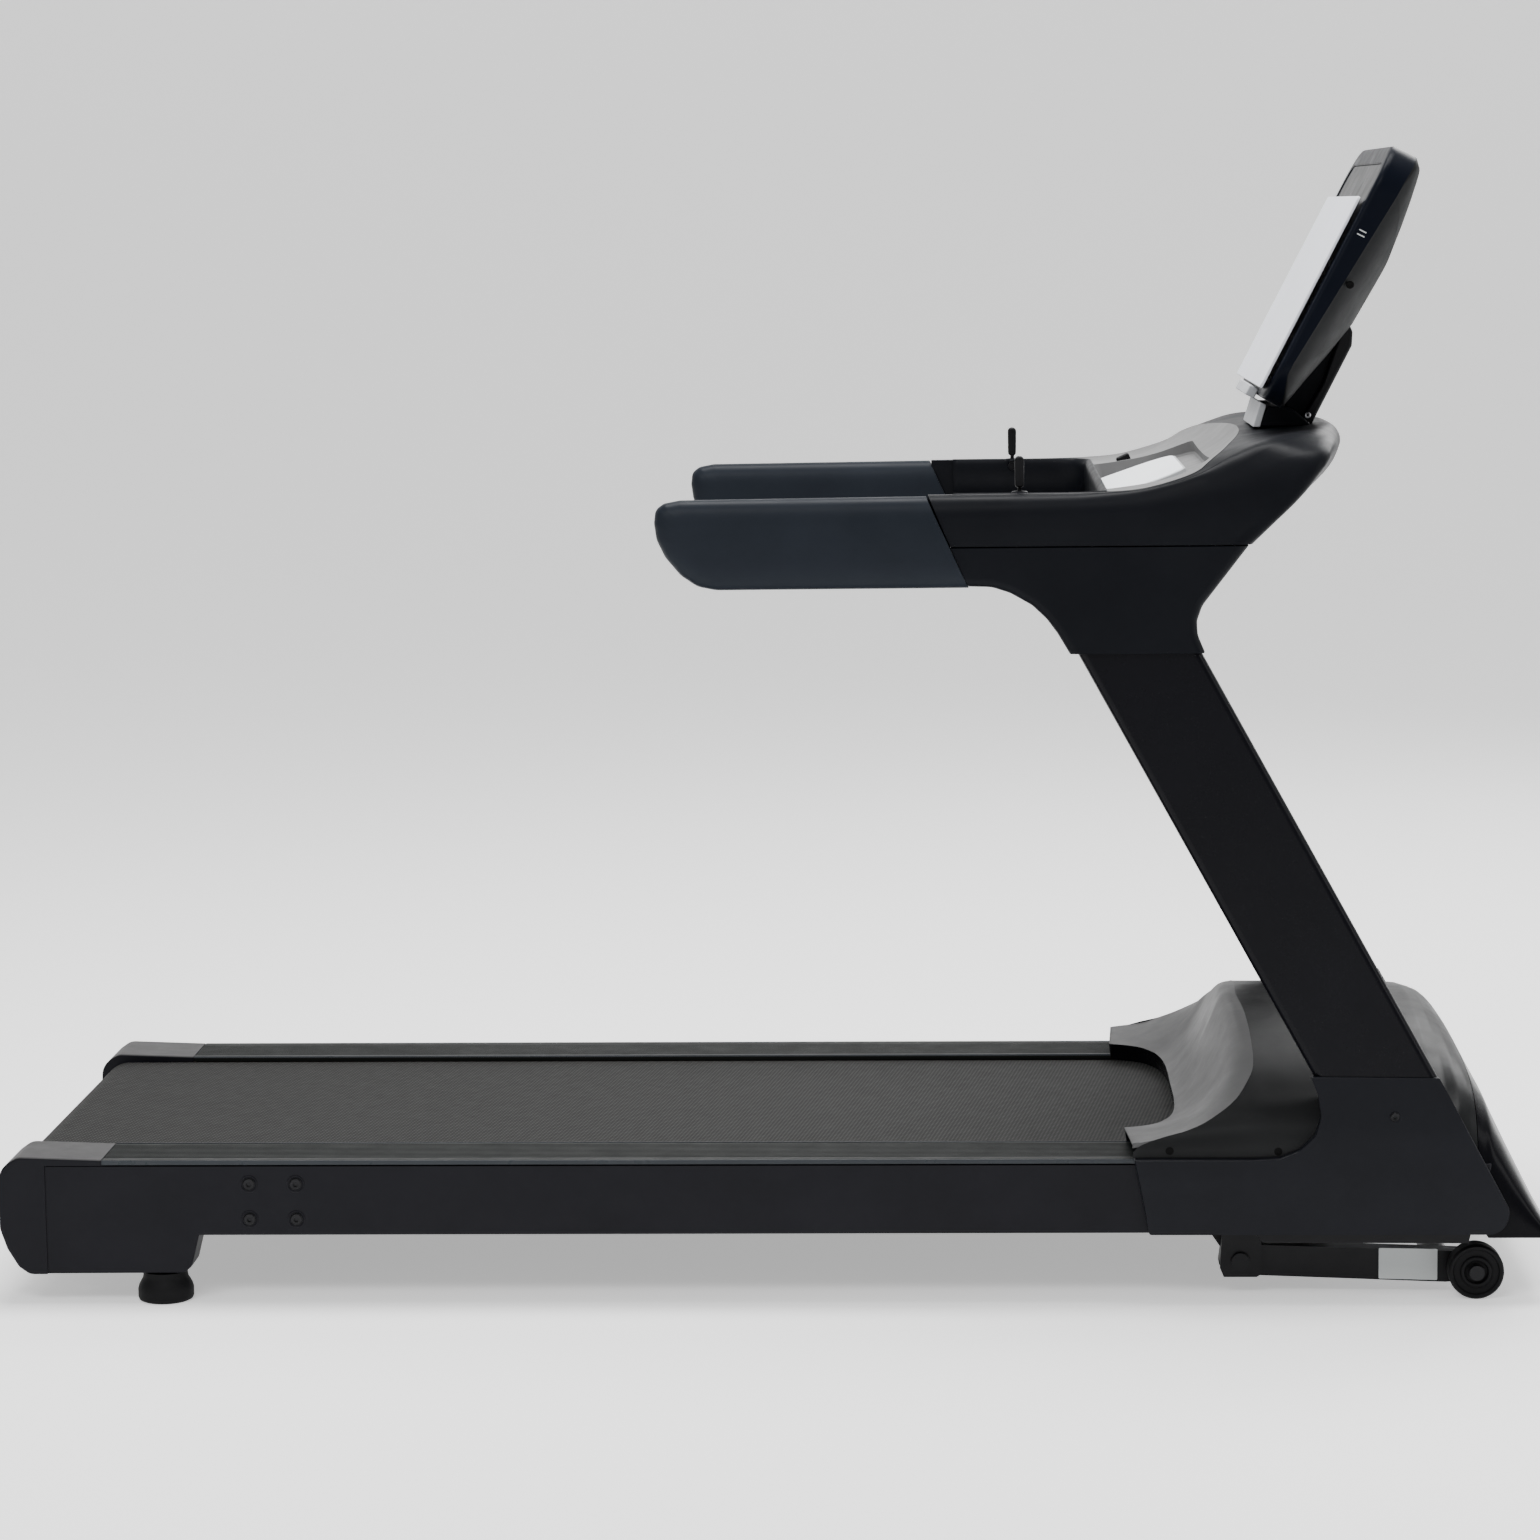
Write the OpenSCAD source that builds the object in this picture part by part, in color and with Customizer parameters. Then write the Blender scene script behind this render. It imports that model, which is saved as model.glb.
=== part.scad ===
// Commercial treadmill: deck with running belt and drive, incline lift frame on two wheels,
// two slanted uprights, armrest handrails, dashboard and a tilted console.
// Millimetres. +X points to the console end, +Y to the runner's left, +Z up, floor at Z = 0.

/* [Deck] */
// Width over the outer faces of the two frame rails
rail_span = 796; // [780:2:820]
// Width of one frame rail tube
rail_w = 56; // [40:1:60]
// Wall of the steel tubes
tube_wall = 3; // [2:0.5:5]
// Height of the rail's lower face above the floor
rail_z = 97; // [95:1:100]
// Height of the rail's upper face above the floor
rail_top = 187.5; // [186:0.5:188]
// Width of the running belt
belt_w = 580; // [540:5:582]
// Thickness of the running belt
belt_t = 2.5; // [1.5:0.5:3]
// Outer radius of the belt where it turns round a roller
belt_r = 38; // [36:1:38]
// Position of the rear roller along the deck
rear_roller_x = -990; // [-992:1:-985]
// Position of the front roller along the deck
front_roller_x = 700; // [690:1:705]
// Height of both roller axes above the floor
roller_z = 152; // [150:1:153]
// Thickness of the deck board
deck_t = 25; // [18:1:25]

/* [Lift frame] */
// Position of the lift pivot along the deck
pivot_x = 628; // [620:1:636]
// Height of the lift pivot above the floor
pivot_z = 46; // [44:1:48]
// Full travel of the lift frame in degrees
lift_travel = 40; // [10:1:40]
// Position of the wheel axis along the deck
wheel_x = 939; // [930:1:945]
// Radius of a wheel
wheel_r = 37; // [35:1:38]
// Length of the crank that the actuator pulls
crank_r = 60; // [50:1:60]
// Slope of the actuator in degrees
actuator_tilt = 18; // [16:1:20]

/* [Upper body] */
// Horizontal width of an upright
upright_w = 157.5; // [140:0.5:160]
// Horizontal run of an upright for each millimetre of height
upright_lean = 0.5505; // [0.54:0.0005:0.56]
// Inner face of an upright, from the centre plane
upright_y = 358; // [356:1:362]
// Thickness of an upright across the treadmill
upright_t = 48; // [40:1:50]
// Height of the handrail's upper face
handrail_top = 1075; // [1070:1:1076]
// Thickness of a handrail across the treadmill
handrail_t = 48; // [40:1:50]
// Wall of the plastic covers
cover_t = 4; // [3:0.5:5]

/* [Console] */
// Backward tilt of the console from vertical in degrees
console_tilt = 27.3; // [20:0.1:30]
// Width of the console
console_w = 490; // [460:2:500]
// Height of the console's face
console_h = 375; // [360:1:380]
// Radius of the console's corners
console_corner = 60; // [40:1:70]

/* [Hidden] */
$fn = 64;
rail_out = rail_span / 2;
rail_in = rail_out - rail_w;
rail_rear = -1012;
rail_front = 960;
deck_top = roller_z + belt_r - belt_t - 0.3;
deck_bottom = deck_top - deck_t;
cross_x = [-650, -100, 400];
cross_w = 60;
cross_z = 120;
cushion_z = 150;
cushion_y = 305;
roller_r = belt_r - belt_t - 0.3;
roller_half = belt_w / 2 + 4;
axle_r = 8.5;
axle_half = rail_in + 14;
running_gap = 0.05;
trim_rear = -894;
trim_front = 520;
trim_in = 296;
trim_out = 402;
trim_top = 197;
adjust_y = rail_in + 8;
cap_in = 296;
cap_out = 403;
foot_x = -817;
foot_y = 370;
stem_r = 5.95;
arm_in = 315;
arm_out = 343;
wheel_in = 347;
wheel_out = 379;
wheel_bolt_r = 6;
pivot_r = 8;
bracket_in = 346;
bracket_out = 352;
crank_in = 314;
crank_out = 322;
crank_pin_r = 6;
crank_start = actuator_tilt + lift_travel / 2;
crank_x = pivot_x - crank_r * sin(crank_start);
crank_z = pivot_z + crank_r * cos(crank_start);
actuator_y = -326.5;
piston_r = 8;
motor_x = 840;
motor_z = 235;
motor_r = 58;
motor_pulley_r = 22;
roller_pulley_r = 48;
pulley_y = 300;
pulley_w = 24;
shaft_r = 8;
drive_belt_t = 2.7;
drive_gap = 0.3;
tray_x = 760;
tray_t = 4;
upright_base = rail_top;
upright_head = 1000;
upright_foot_x = 786.5;
cowl_in = 352;
cowl_out = 414;
seam_z = 1010;
handrail_in = 370;
dash_lip_x = 446;
dash_lip_z = 1074;
dash_head_x = 602;
dash_head_z = 1148;
dash_slope = atan2(dash_head_z - dash_lip_z, dash_head_x - dash_lip_x);
dash_run = norm([dash_head_x - dash_lip_x, dash_head_z - dash_lip_z]);
bridge_top = 1149;
lever_x = 337;
lever_y = 362;
lever_pivot_z = 1068;
console_x = 668;
console_z = 1204;
console_low = -15;
bezel_t = 27;
inlet_y = 245;
inlet_z = 120;
side_in = 407;
side_out = 415;

// ---- Shared shapes ----

// A side outline in X and Z, made into a plate between two values of Y.
module plate(outline, y_low, y_high) {
    translate([0, y_high, 0]) rotate([90, 0, 0]) linear_extrude(y_high - y_low) polygon(outline);
}

// A cylinder along Y.
module rod_y(x, z, y_low, y_high, r) {
    translate([x, y_high, z]) rotate([90, 0, 0]) cylinder(r = r, h = y_high - y_low);
}

// A box given by its lowest and highest corners.
module block(low, high) {
    translate(low) cube(high - low);
}

// Shapes are drawn for the left side and mirrored for the right side.
module on_right() {
    mirror([0, 1, 0]) children();
}

// A plate in the XY plane with round corners.
module rounded_plate(length, width, height, r) {
    translate([r, -width / 2, 0]) cube([length - 2 * r, width, height]);
    translate([0, -width / 2 + r, 0]) cube([length, width - 2 * r, height]);
    for (x = [r, length - r], y = [-width / 2 + r, width / 2 - r])
        translate([x, y, 0]) cylinder(r = r, h = height);
}

// ---- Deck frame ----

module rail() {
    difference() {
        block([rail_rear, rail_in, rail_z], [rail_front, rail_out, rail_top]);
        block([rail_rear + tube_wall, rail_in + tube_wall, rail_z + tube_wall],
            [rail_front + 1, rail_out - tube_wall, rail_top - tube_wall]);
        for (x = [rear_roller_x, front_roller_x])
            rod_y(x, roller_z, rail_in - 1, rail_in + tube_wall + 1, axle_r + running_gap);
        translate([rail_rear - 1, adjust_y, roller_z]) rotate([0, 90, 0])
            cylinder(r = 3.2, h = tube_wall + 2);
        for (x = [-696, -633], z = [116, 164])
            rod_y(x, z, rail_out - tube_wall - 1, rail_out + 1, 4.1);
    }
}

module frame_rail_left() {
    color([0.12, 0.12, 0.14]) rail();
}

module frame_rail_right() {
    color([0.12, 0.12, 0.14]) on_right() rail();
}

module cross_members() {
    color([0.2, 0.2, 0.22])
        for (x = cross_x)
            difference() {
                block([x - cross_w / 2, -rail_in, cross_z], [x + cross_w / 2, rail_in, cushion_z]);
                block([x - cross_w / 2 + tube_wall, -rail_in - 1, cross_z + tube_wall],
                    [x + cross_w / 2 - tube_wall, rail_in + 1, cushion_z - tube_wall]);
            }
}

module motor_tray() {
    saddle_x = 40;
    color([0.3, 0.3, 0.32]) {
        block([tray_x, -rail_in, rail_z], [rail_front, rail_in, rail_z + tray_t]);
        difference() {
            for (y = [-60, 140])
                block([motor_x - saddle_x, y, rail_z + tray_t], [motor_x + saddle_x, y + 8, motor_z - 20]);
            rod_y(motor_x, motor_z, -100, 190, motor_r);
        }
        block([872, actuator_y - 10, rail_z + tray_t], [890, actuator_y + 10, 173.9]);
    }
}

module deck_board() {
    color([0.35, 0.27, 0.2]) block([-930, -335, deck_bottom], [600, 335, deck_top]);
}

module deck_cushions() {
    color([0.15, 0.15, 0.15])
        for (x = cross_x, side = [-1, 1])
            translate([x, side * cushion_y, cushion_z]) cylinder(r = 20, h = deck_bottom - cushion_z);
}

// Foot rail: a ribbed top plate whose outer lip hangs over the frame rail.
module foot_rail() {
    rib_pitch = 9;
    ribs = [for (y = [310 : rib_pitch : 382])
        for (p = [[y, trim_top], [y + 2, trim_top - 0.8], [y + 4, trim_top]]) p];
    outline = concat(
        [[trim_in, rail_top + 3.5], [trim_in, trim_top - 2], [trim_in + 4, trim_top]],
        ribs,
        [[trim_out - 3, trim_top], [trim_out, trim_top - 3], [trim_out, rail_top - 6],
            [rail_out + 0.5, rail_top - 6], [rail_out + 0.5, rail_top], [trim_in + 20, rail_top]]);
    translate([trim_rear, 0, 0]) rotate([90, 0, 90]) linear_extrude(trim_front - trim_rear)
        polygon(outline);
}

module foot_rail_left() {
    color([0.22, 0.23, 0.22]) foot_rail();
}

module foot_rail_right() {
    color([0.22, 0.23, 0.22]) on_right() foot_rail();
}

// End cap: a hollow shell over the rail's end, a top tongue, and a hollow leg that holds a foot.
module end_cap() {
    difference() {
        union() {
            plate([[-971, rail_z - 1], [-971, 200], [-1012, 201], [-1022, 198], [-1028, 190],
                [-1031, 150], [-1031, 103], [-1021, 76], [-1008, 52], [-993, 41], [-971, 41]],
                cap_in, cap_out);
            plate([[-971, rail_top], [-971, 200], [trim_rear, trim_top], [trim_rear, rail_top]],
                cap_in, cap_out);
            plate([[-971, 41], [-785, 43], [-775, 51], [-762, 92], [-764, rail_z], [-971, rail_z]],
                rail_in - 4, cap_out);
        }
        plate([[-970, 60], [-970, rail_top], [-1018, rail_top], [-1026, 180], [-1026, 104],
            [-1012, 70], [-1003, 60]], cap_in + cover_t, cap_out - cover_t);
        block([-975, cap_in - 1, 60], [-960, rail_in, rail_top]);
        plate([[-1003, 47], [-790, 48], [-780, 54], [-771, 90], [-771, rail_z + 1], [-1003, rail_z + 1]],
            rail_in, cap_out - cover_t);
        block([rail_rear - 1, rail_in, rail_z], [-760, cap_out + 1 - 5, rail_top]);
        rod_y(rear_roller_x, roller_z, cap_in - 1, cap_in + cover_t + 1, 10);
        translate([foot_x, foot_y, 30]) cylinder(r = 6, h = 40);
    }
}

module end_cap_left() {
    color([0.35, 0.35, 0.36]) end_cap();
}

module end_cap_right() {
    color([0.35, 0.35, 0.36]) on_right() end_cap();
}

// ---- Belt, rollers and drive ----

// Outline of a band round two circles, a behind b. The straight runs lie a trace inside the tangents.
module band_outline(a, b, r_a, r_b) {
    trace = 0.05;
    heading = atan2(b[1] - a[1], b[0] - a[0]);
    lean = asin((r_a - r_b) / norm(b - a));
    up = heading + 90 - lean;
    down = heading - 90 + lean;
    translate(a) circle(r = r_a);
    translate(b) circle(r = r_b);
    polygon([a + (r_a - trace) * [cos(up), sin(up)], b + (r_b - trace) * [cos(up), sin(up)],
        b + (r_b - trace) * [cos(down), sin(down)], a + (r_a - trace) * [cos(down), sin(down)]]);
}

module band(a, b, r_a, r_b, t, y_low, y_high) {
    translate([0, y_high, 0]) rotate([90, 0, 0]) linear_extrude(y_high - y_low)
        difference() {
            band_outline(a, b, r_a + t, r_b + t);
            band_outline(a, b, r_a, r_b);
        }
}

module running_belt() {
    inner_r = belt_r - belt_t;
    color([0.25, 0.25, 0.24])
        band([rear_roller_x, roller_z], [front_roller_x, roller_z], inner_r, inner_r, belt_t,
            -belt_w / 2, belt_w / 2);
}

module roller_axles() {
    color([0.7, 0.7, 0.72]) {
        difference() {
            rod_y(rear_roller_x, roller_z, -axle_half, axle_half, axle_r);
            for (side = [-1, 1])
                translate([rear_roller_x - 15, side * adjust_y, roller_z]) rotate([0, 90, 0])
                    cylinder(r = 3.05, h = 30);
        }
        rod_y(front_roller_x, roller_z, -axle_half, axle_half, axle_r);
    }
}

module belt_adjusting_bolts() {
    color([0.6, 0.6, 0.62])
        for (side = [-1, 1])
            translate([rail_rear, side * adjust_y, roller_z]) rotate([0, 90, 0]) {
                cylinder(r = 3, h = 50);
                translate([0, 0, -6]) cylinder(r = 5.5, h = 6);
            }
}

module rear_roller() {
    color([0.75, 0.75, 0.77]) difference() {
        rod_y(rear_roller_x, roller_z, -roller_half, roller_half, roller_r);
        rod_y(rear_roller_x, roller_z, -roller_half - 1, roller_half + 1, axle_r + running_gap);
    }
}

module front_roller() {
    color([0.75, 0.75, 0.77]) difference() {
        union() {
            rod_y(front_roller_x, roller_z, -roller_half, roller_half, roller_r);
            rod_y(front_roller_x, roller_z, roller_half, pulley_y, 30);
            rod_y(front_roller_x, roller_z, pulley_y, pulley_y + pulley_w, roller_pulley_r);
        }
        rod_y(front_roller_x, roller_z, -roller_half - 1, pulley_y + pulley_w + 1, axle_r + running_gap);
    }
}

module drive_motor() {
    color([0.15, 0.15, 0.16]) difference() {
        rod_y(motor_x, motor_z, -100, 190, motor_r);
        rod_y(motor_x, motor_z, -101, 191, shaft_r + running_gap);
        for (angle = [0 : 30 : 330])
            translate([motor_x, 0, motor_z]) rotate([0, angle, 0]) translate([motor_r, -20, 0])
                cube([6, 150, 8], center = true);
    }
}

module motor_rotor() {
    color([0.5, 0.5, 0.52]) {
        rod_y(motor_x, motor_z, -110, pulley_y + pulley_w, shaft_r);
        rod_y(motor_x, motor_z, 200, 230, 50);
        rod_y(motor_x, motor_z, pulley_y, pulley_y + pulley_w, motor_pulley_r);
    }
}

module drive_belt() {
    color([0.1, 0.1, 0.1])
        band([front_roller_x, roller_z], [motor_x, motor_z], roller_pulley_r + drive_gap,
            motor_pulley_r + drive_gap, drive_belt_t, pulley_y + 2, pulley_y + pulley_w - 2);
}

module motor_controller() {
    color([0.55, 0.56, 0.58]) difference() {
        block([770, -290, rail_z + tray_t], [930, -130, 160]);
        for (x = [782 : 12 : 926])
            block([x - 3, -291, 130], [x + 3, -129, 161]);
    }
}

// ---- Hood and side covers ----

// The hood's side outline, drawn in from the outside by t.
function hood_outline(t) = [[474 + t, 198 - 2 * t], [474 + t, 219 - t], [519 + t / 2, 226 - t],
    [563 + t / 2, 243 - t], [599 + t / 2, 264 - t], [629 + t / 2, 284 - t], [643 + t / 2, 345 - t],
    [884, 342 - t], [905, 335 - t], [922 - t / 2, 320 - t], [936 - t, 300 - t / 2],
    [952 - t, 268], [986 - t, 194], [1021 - t, 123], [1031 - t, 103], [1028 - t, 89 + t],
    [960, 93 + t], [960, 198 - 2 * t]];

// The hood's cross section, drawn in by t: crowned top, round shoulders, straight sides.
module hood_section(t) {
    half = [[404 - t, 80], [404 - t, 222], [396 - t, 246 - t / 2], [385 - t, 259 - t / 2],
        [345 - t / 2, 284 - t], [260, 314 - t], [120, 339 - t]];
    other = [for (k = [len(half) - 1 : -1 : 0]) [-half[k][0], half[k][1]]];
    translate([440, 0, 0]) rotate([90, 0, 90]) linear_extrude(620)
        polygon(concat(half, [[0, 345 - t]], other));
}

module hood_solid(t) {
    intersection() {
        plate(hood_outline(t), -420, 420);
        hood_section(t);
    }
}

// The space that the belt runs through, with round inner corners.
module belt_mouth() {
    translate([400, 0, 100]) rounded_plate(152, 2 * trim_in - 16, 300, 60);
    block([400, 8 - trim_in, 100], [480, trim_in - 8, 400]);
}

// The outline that an upright needs free, a little larger than the upright.
module upright_space() {
    gap = 2;
    foot = upright_foot_x - gap;
    head = foot - (500 - 190) * upright_lean;
    for (side = [0, 1]) mirror([0, side, 0])
        plate([[foot, 190], [foot + upright_w + 2 * gap, 190], [head + upright_w + 2 * gap, 500], [head, 500]],
            upright_y - gap, 430);
}

module hood_shell() {
    difference() {
        hood_solid(0);
        hood_solid(cover_t);
        upright_space();
    }
}

module hood_scoop() {
    color([0.45, 0.46, 0.46]) intersection() {
        difference() {
            hood_shell();
            belt_mouth();
        }
        block([440, -420, 198.5], [643, 420, 400]);
    }
}

module hood_top() {
    color([0.2, 0.21, 0.21]) intersection() {
        hood_shell();
        block([643.5, -420, 198.5], [937, 420, 400]);
    }
}

module hood_nose() {
    color([0.1, 0.1, 0.11]) difference() {
        intersection() {
            hood_shell();
            block([937.5, -420, 60], [1040, 420, 400]);
        }
        block([988.5, inlet_y - 57, inlet_z - 22], [1040, inlet_y + 57, inlet_z + 22]);
    }
}

module side_cover() {
    difference() {
        plate([[484, 198], [504, 97], [938, 95], [958, 103], [972, 125], [972, 150], [897, 287],
            [883, 306], [716, 308], [728, 280], [729, 252], [721, 231], [701, 211], [678, 201],
            [648, 198]], side_in, side_out);
        rod_y(826, 255, side_in - 1, side_out + 1, 2.6);
    }
}

module side_cover_left() {
    color([0.14, 0.15, 0.16]) side_cover();
}

module side_cover_right() {
    color([0.14, 0.15, 0.16]) on_right() side_cover();
}

module cover_screws() {
    color([0.08, 0.08, 0.08])
        for (side = [0, 1]) mirror([0, side, 0]) {
            rod_y(826, 255, side_in - 1, side_out, 2.5);
            rod_y(826, 255, side_out, side_out + 1.5, 5);
        }
}

module rail_bolts() {
    color([0.08, 0.08, 0.08])
        for (side = [0, 1], x = [-696, -633], z = [116, 164]) mirror([0, side, 0]) {
            rod_y(x, z, rail_out - 14, rail_out, 4);
            difference() {
                rod_y(x, z, rail_out, rail_out + 3, 9);
                rod_y(x, z, rail_out + 1, rail_out + 4, 3.5);
            }
        }
}

// ---- Uprights, cowls and handrails ----

module upright() {
    run = (upright_head - upright_base) * upright_lean;
    wall = 5;
    difference() {
        plate([[upright_foot_x, upright_base], [upright_foot_x + upright_w, upright_base],
            [upright_foot_x + upright_w - run, upright_head], [upright_foot_x - run, upright_head]],
            upright_y, upright_y + upright_t);
        plate([[upright_foot_x + wall + 1, upright_base - 1],
            [upright_foot_x + upright_w - wall, upright_base - 1],
            [upright_foot_x + upright_w - wall - run - 1, upright_head + 1],
            [upright_foot_x + wall - run, upright_head + 1]],
            upright_y + wall, upright_y + upright_t - wall);
    }
}

module upright_left() {
    color([0.1, 0.1, 0.11]) upright();
}

module upright_right() {
    color([0.1, 0.1, 0.11]) on_right() upright();
}

module cowl_lower() {
    difference() {
        plate([[245.5, seam_z], [269.5, 958], [300, 957], [324, 949], [352, 934], [370, 916], [384, 897],
            [401, 869], [576, 869], [567, 893], [566, 911], [572, 931], [634, seam_z]],
            cowl_in, cowl_out);
        plate([[252, seam_z + 1], [274, 962], [302, 961], [328, 953], [356, 938], [375, 919], [389, 899],
            [406, 868], [571, 868], [562, 893], [561, 912], [567, 934], [626, seam_z + 1]],
            cowl_in + cover_t, cowl_out - cover_t);
    }
}

module cowl_lower_left() {
    color([0.1, 0.1, 0.11]) cowl_lower();
}

module cowl_lower_right() {
    color([0.1, 0.1, 0.11]) on_right() cowl_lower();
}

module cowl_upper() {
    difference() {
        plate([[245.5, seam_z + 0.3], [215.5, 1076], [436, 1077], [478, 1080], [527, 1090], [561, 1102],
            [602, 1130], [640, 1138], [752, 1138], [758, 1128], [745, 1112], [634, seam_z + 0.3]],
            cowl_in, cowl_out);
        plate([[252, seam_z - 1], [222, 1072], [436, 1073], [478, 1076], [527, 1086], [561, 1098],
            [602, 1126], [640, 1134], [748, 1134], [752, 1128], [740, 1113], [628, seam_z - 1]],
            cowl_in + cover_t, cowl_out - cover_t);
        block([lever_x - 14, lever_y - 5, 1060], [lever_x + 14, lever_y + 5, 1090]);
    }
}

module cowl_upper_left() {
    color([0.12, 0.12, 0.13]) cowl_upper();
}

module cowl_upper_right() {
    color([0.12, 0.12, 0.13]) on_right() cowl_upper();
}

module crossbar_cover() {
    color([0.12, 0.12, 0.13]) difference() {
        plate([[dash_head_x + 0.3, 1060], [dash_head_x + 0.3, dash_head_z], [640, bridge_top],
            [772, bridge_top], [785, 1142], [788, 1127], [781, 1108], [690, 1008], [dash_head_x + 0.3, 1008]],
            -cowl_in, cowl_in);
        plate([[dash_head_x - 1, 1060], [dash_head_x - 1, dash_head_z - 5], [640, bridge_top - 4],
            [770, bridge_top - 4], [781, 1139], [784, 1127], [778, 1110], [688, 1012], [dash_head_x - 1, 1012]],
            -cowl_in + cover_t, cowl_in - cover_t);
    }
}

// Places its children on the dashboard's slope: local X runs up the slope from the lip.
module on_dash() {
    translate([dash_lip_x, 0, dash_lip_z]) rotate([0, -dash_slope, 0]) children();
}

module dashboard() {
    tray_depth = 22;
    tray_floor = 4;
    color([0.5, 0.51, 0.52]) difference() {
        plate([[dash_lip_x, 1008], [dash_lip_x, dash_lip_z], [dash_head_x, dash_head_z],
            [dash_head_x, 1008]], -cowl_in, cowl_in);
        plate([[dash_lip_x + cover_t, 1012], [dash_lip_x + cover_t, dash_lip_z - 31],
            [dash_head_x + 1, dash_head_z - 31], [dash_head_x + 1, 1012]],
            -cowl_in + cover_t, cowl_in - cover_t);
        on_dash() translate([10, 0, -tray_depth]) rounded_plate(dash_run - 22, 600, 60, 55);
        on_dash() translate([46, 282, -tray_depth - tray_floor - 4]) cube([8, 4, 20]);
    }
}

module keypad_plate() {
    color([0.88, 0.89, 0.9])
        on_dash() translate([12, 0, -22]) rounded_plate(124, 420, 12, 45);
}

// Handrail: a padded armrest with a swept-up lower end.
module handrail() {
    plate([[-60, 955], [-82, 961], [-104, 976], [-124, 999], [-136, 1022], [-140, 1044], [-139, 1058],
        [-131, 1068], [-112, 1073], [215, handrail_top], [269, 958]],
        handrail_in, handrail_in + handrail_t);
}

module handrail_left() {
    color([0.12, 0.13, 0.15]) handrail();
}

module handrail_right() {
    color([0.12, 0.13, 0.15]) on_right() handrail();
}

// ---- Console ----

// Places its children in the console's own frame: local Z runs up the face, local X into it.
module on_console() {
    translate([console_x, 0, console_z]) rotate([0, console_tilt, 0]) children();
}

// A console-sized plate between two depths, with round corners, drawn in by inset.
module console_plate(depth_low, depth_high, inset) {
    translate([depth_low, 0, console_low + inset]) rotate([0, -90, 0]) mirror([0, 0, 1])
        rounded_plate(console_h - 2 * inset, console_w - 2 * inset, depth_high - depth_low,
            console_corner - inset / 2);
}

module console_neck() {
    color([0.75, 0.76, 0.78])
        plate([[657, bridge_top], [672, 1175], [690, 1175], [712, 1169], [722, bridge_top]], -100, 100);
}

module mast_arm() {
    color([0.1, 0.1, 0.1])
        plate([[725, bridge_top], [741, bridge_top], [796, 1256], [799, 1270], [797.4, 1283.4],
            [780.4, 1262.8]], -70, 70);
}

module console_bezel() {
    color([0.08, 0.09, 0.12]) on_console() difference() {
        intersection() {
            console_plate(0, bezel_t, 0);
            plate([[0, 0], [0, 330], [6, 347], [17, 359], [bezel_t, 360], [bezel_t, console_low],
                [14, -13], [5, -8]], -console_w, console_w);
        }
        console_plate(-1, 4, 26);
        console_plate(3, bezel_t + 1, 34);
    }
}

module display_glass() {
    color([0.5, 0.53, 0.57]) on_console() console_plate(0.5, 4, 26.3);
}

module console_back() {
    color([0.3, 0.31, 0.32]) on_console() difference() {
        intersection() {
            plate([[bezel_t, -15], [40, -13], [52, 12], [66, 73], [78, 130], [82, 181], [80, 235], [72, 292],
                [60, 345], [50, 358], [bezel_t, 360]], -console_w / 2, console_w / 2);
            console_plate(bezel_t, 90, 0);
        }
        intersection() {
            plate([[bezel_t - 1, -10], [38, -8], [48, 14], [62, 75], [74, 132], [78, 181], [76, 234],
                [68, 290], [56, 342], [47, 353], [bezel_t - 1, 355]], -console_w, console_w);
            console_plate(bezel_t - 1, 90, cover_t);
        }
    }
}

module tablet_plate() {
    color([0.83, 0.84, 0.86]) on_console() block([-10, -230, -3], [-6, 230, 279]);
}

module tablet_ledge() {
    color([0.7, 0.71, 0.73]) on_console() {
        block([-24, -225, -20], [-0.3, 225, -4]);
        block([-24, -225, -4], [-20, 225, 4]);
    }
}

// ---- Lift frame, wheels and feet ----

module lift_brackets() {
    color([0.1, 0.1, 0.1])
        for (side = [0, 1]) mirror([0, side, 0]) {
            plate([[606, 24], [601, 36], [604, rail_z], [656, rail_z], [656, 28], [650, 24]],
                bracket_in, bracket_out);
            rod_y(pivot_x, pivot_z, arm_in + 0.5, bracket_out, pivot_r);
            rod_y(pivot_x, pivot_z, bracket_out, bracket_out + 6, 12);
        }
}

module lift_arm() {
    difference() {
        plate([[606, 26], [600, 40], [604, 68], [646, 66], [895, 58], [948, 56], [957, 46], [957, 28],
            [948, 19], [902, 15]], arm_in, arm_out);
        rod_y(pivot_x, pivot_z, arm_in - 1, arm_out + 1, pivot_r + running_gap);
        rod_y(wheel_x, wheel_r, arm_in - 1, arm_out + 1, wheel_bolt_r);
    }
}

module lift_arm_left() {
    color([0.1, 0.1, 0.1]) lift_arm();
}

// The right arm also carries the crank that the actuator pulls.
module lift_arm_right() {
    side = [cos(crank_start), sin(crank_start)];
    color([0.1, 0.1, 0.1]) {
        on_right() lift_arm();
        difference() {
            union() {
                rod_y(pivot_x, pivot_z, -crank_out, -crank_in, 16);
                rod_y(crank_x, crank_z, -crank_out, -crank_in, 11);
                plate([[pivot_x, pivot_z] + 14 * side, [crank_x, crank_z] + 10 * side,
                    [crank_x, crank_z] - 10 * side, [pivot_x, pivot_z] - 14 * side],
                    -crank_out, -crank_in);
            }
            rod_y(pivot_x, pivot_z, -crank_out - 1, -crank_in + 1, pivot_r + running_gap);
        }
        rod_y(crank_x, crank_z, actuator_y - 7, -crank_in, crank_pin_r);
    }
}

module lift_cross_tube() {
    color([0.1, 0.1, 0.1]) difference() {
        rod_y(895, 37, -arm_in, arm_in, 17);
        rod_y(895, 37, -arm_in - 1, arm_in + 1, 14);
    }
}

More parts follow.
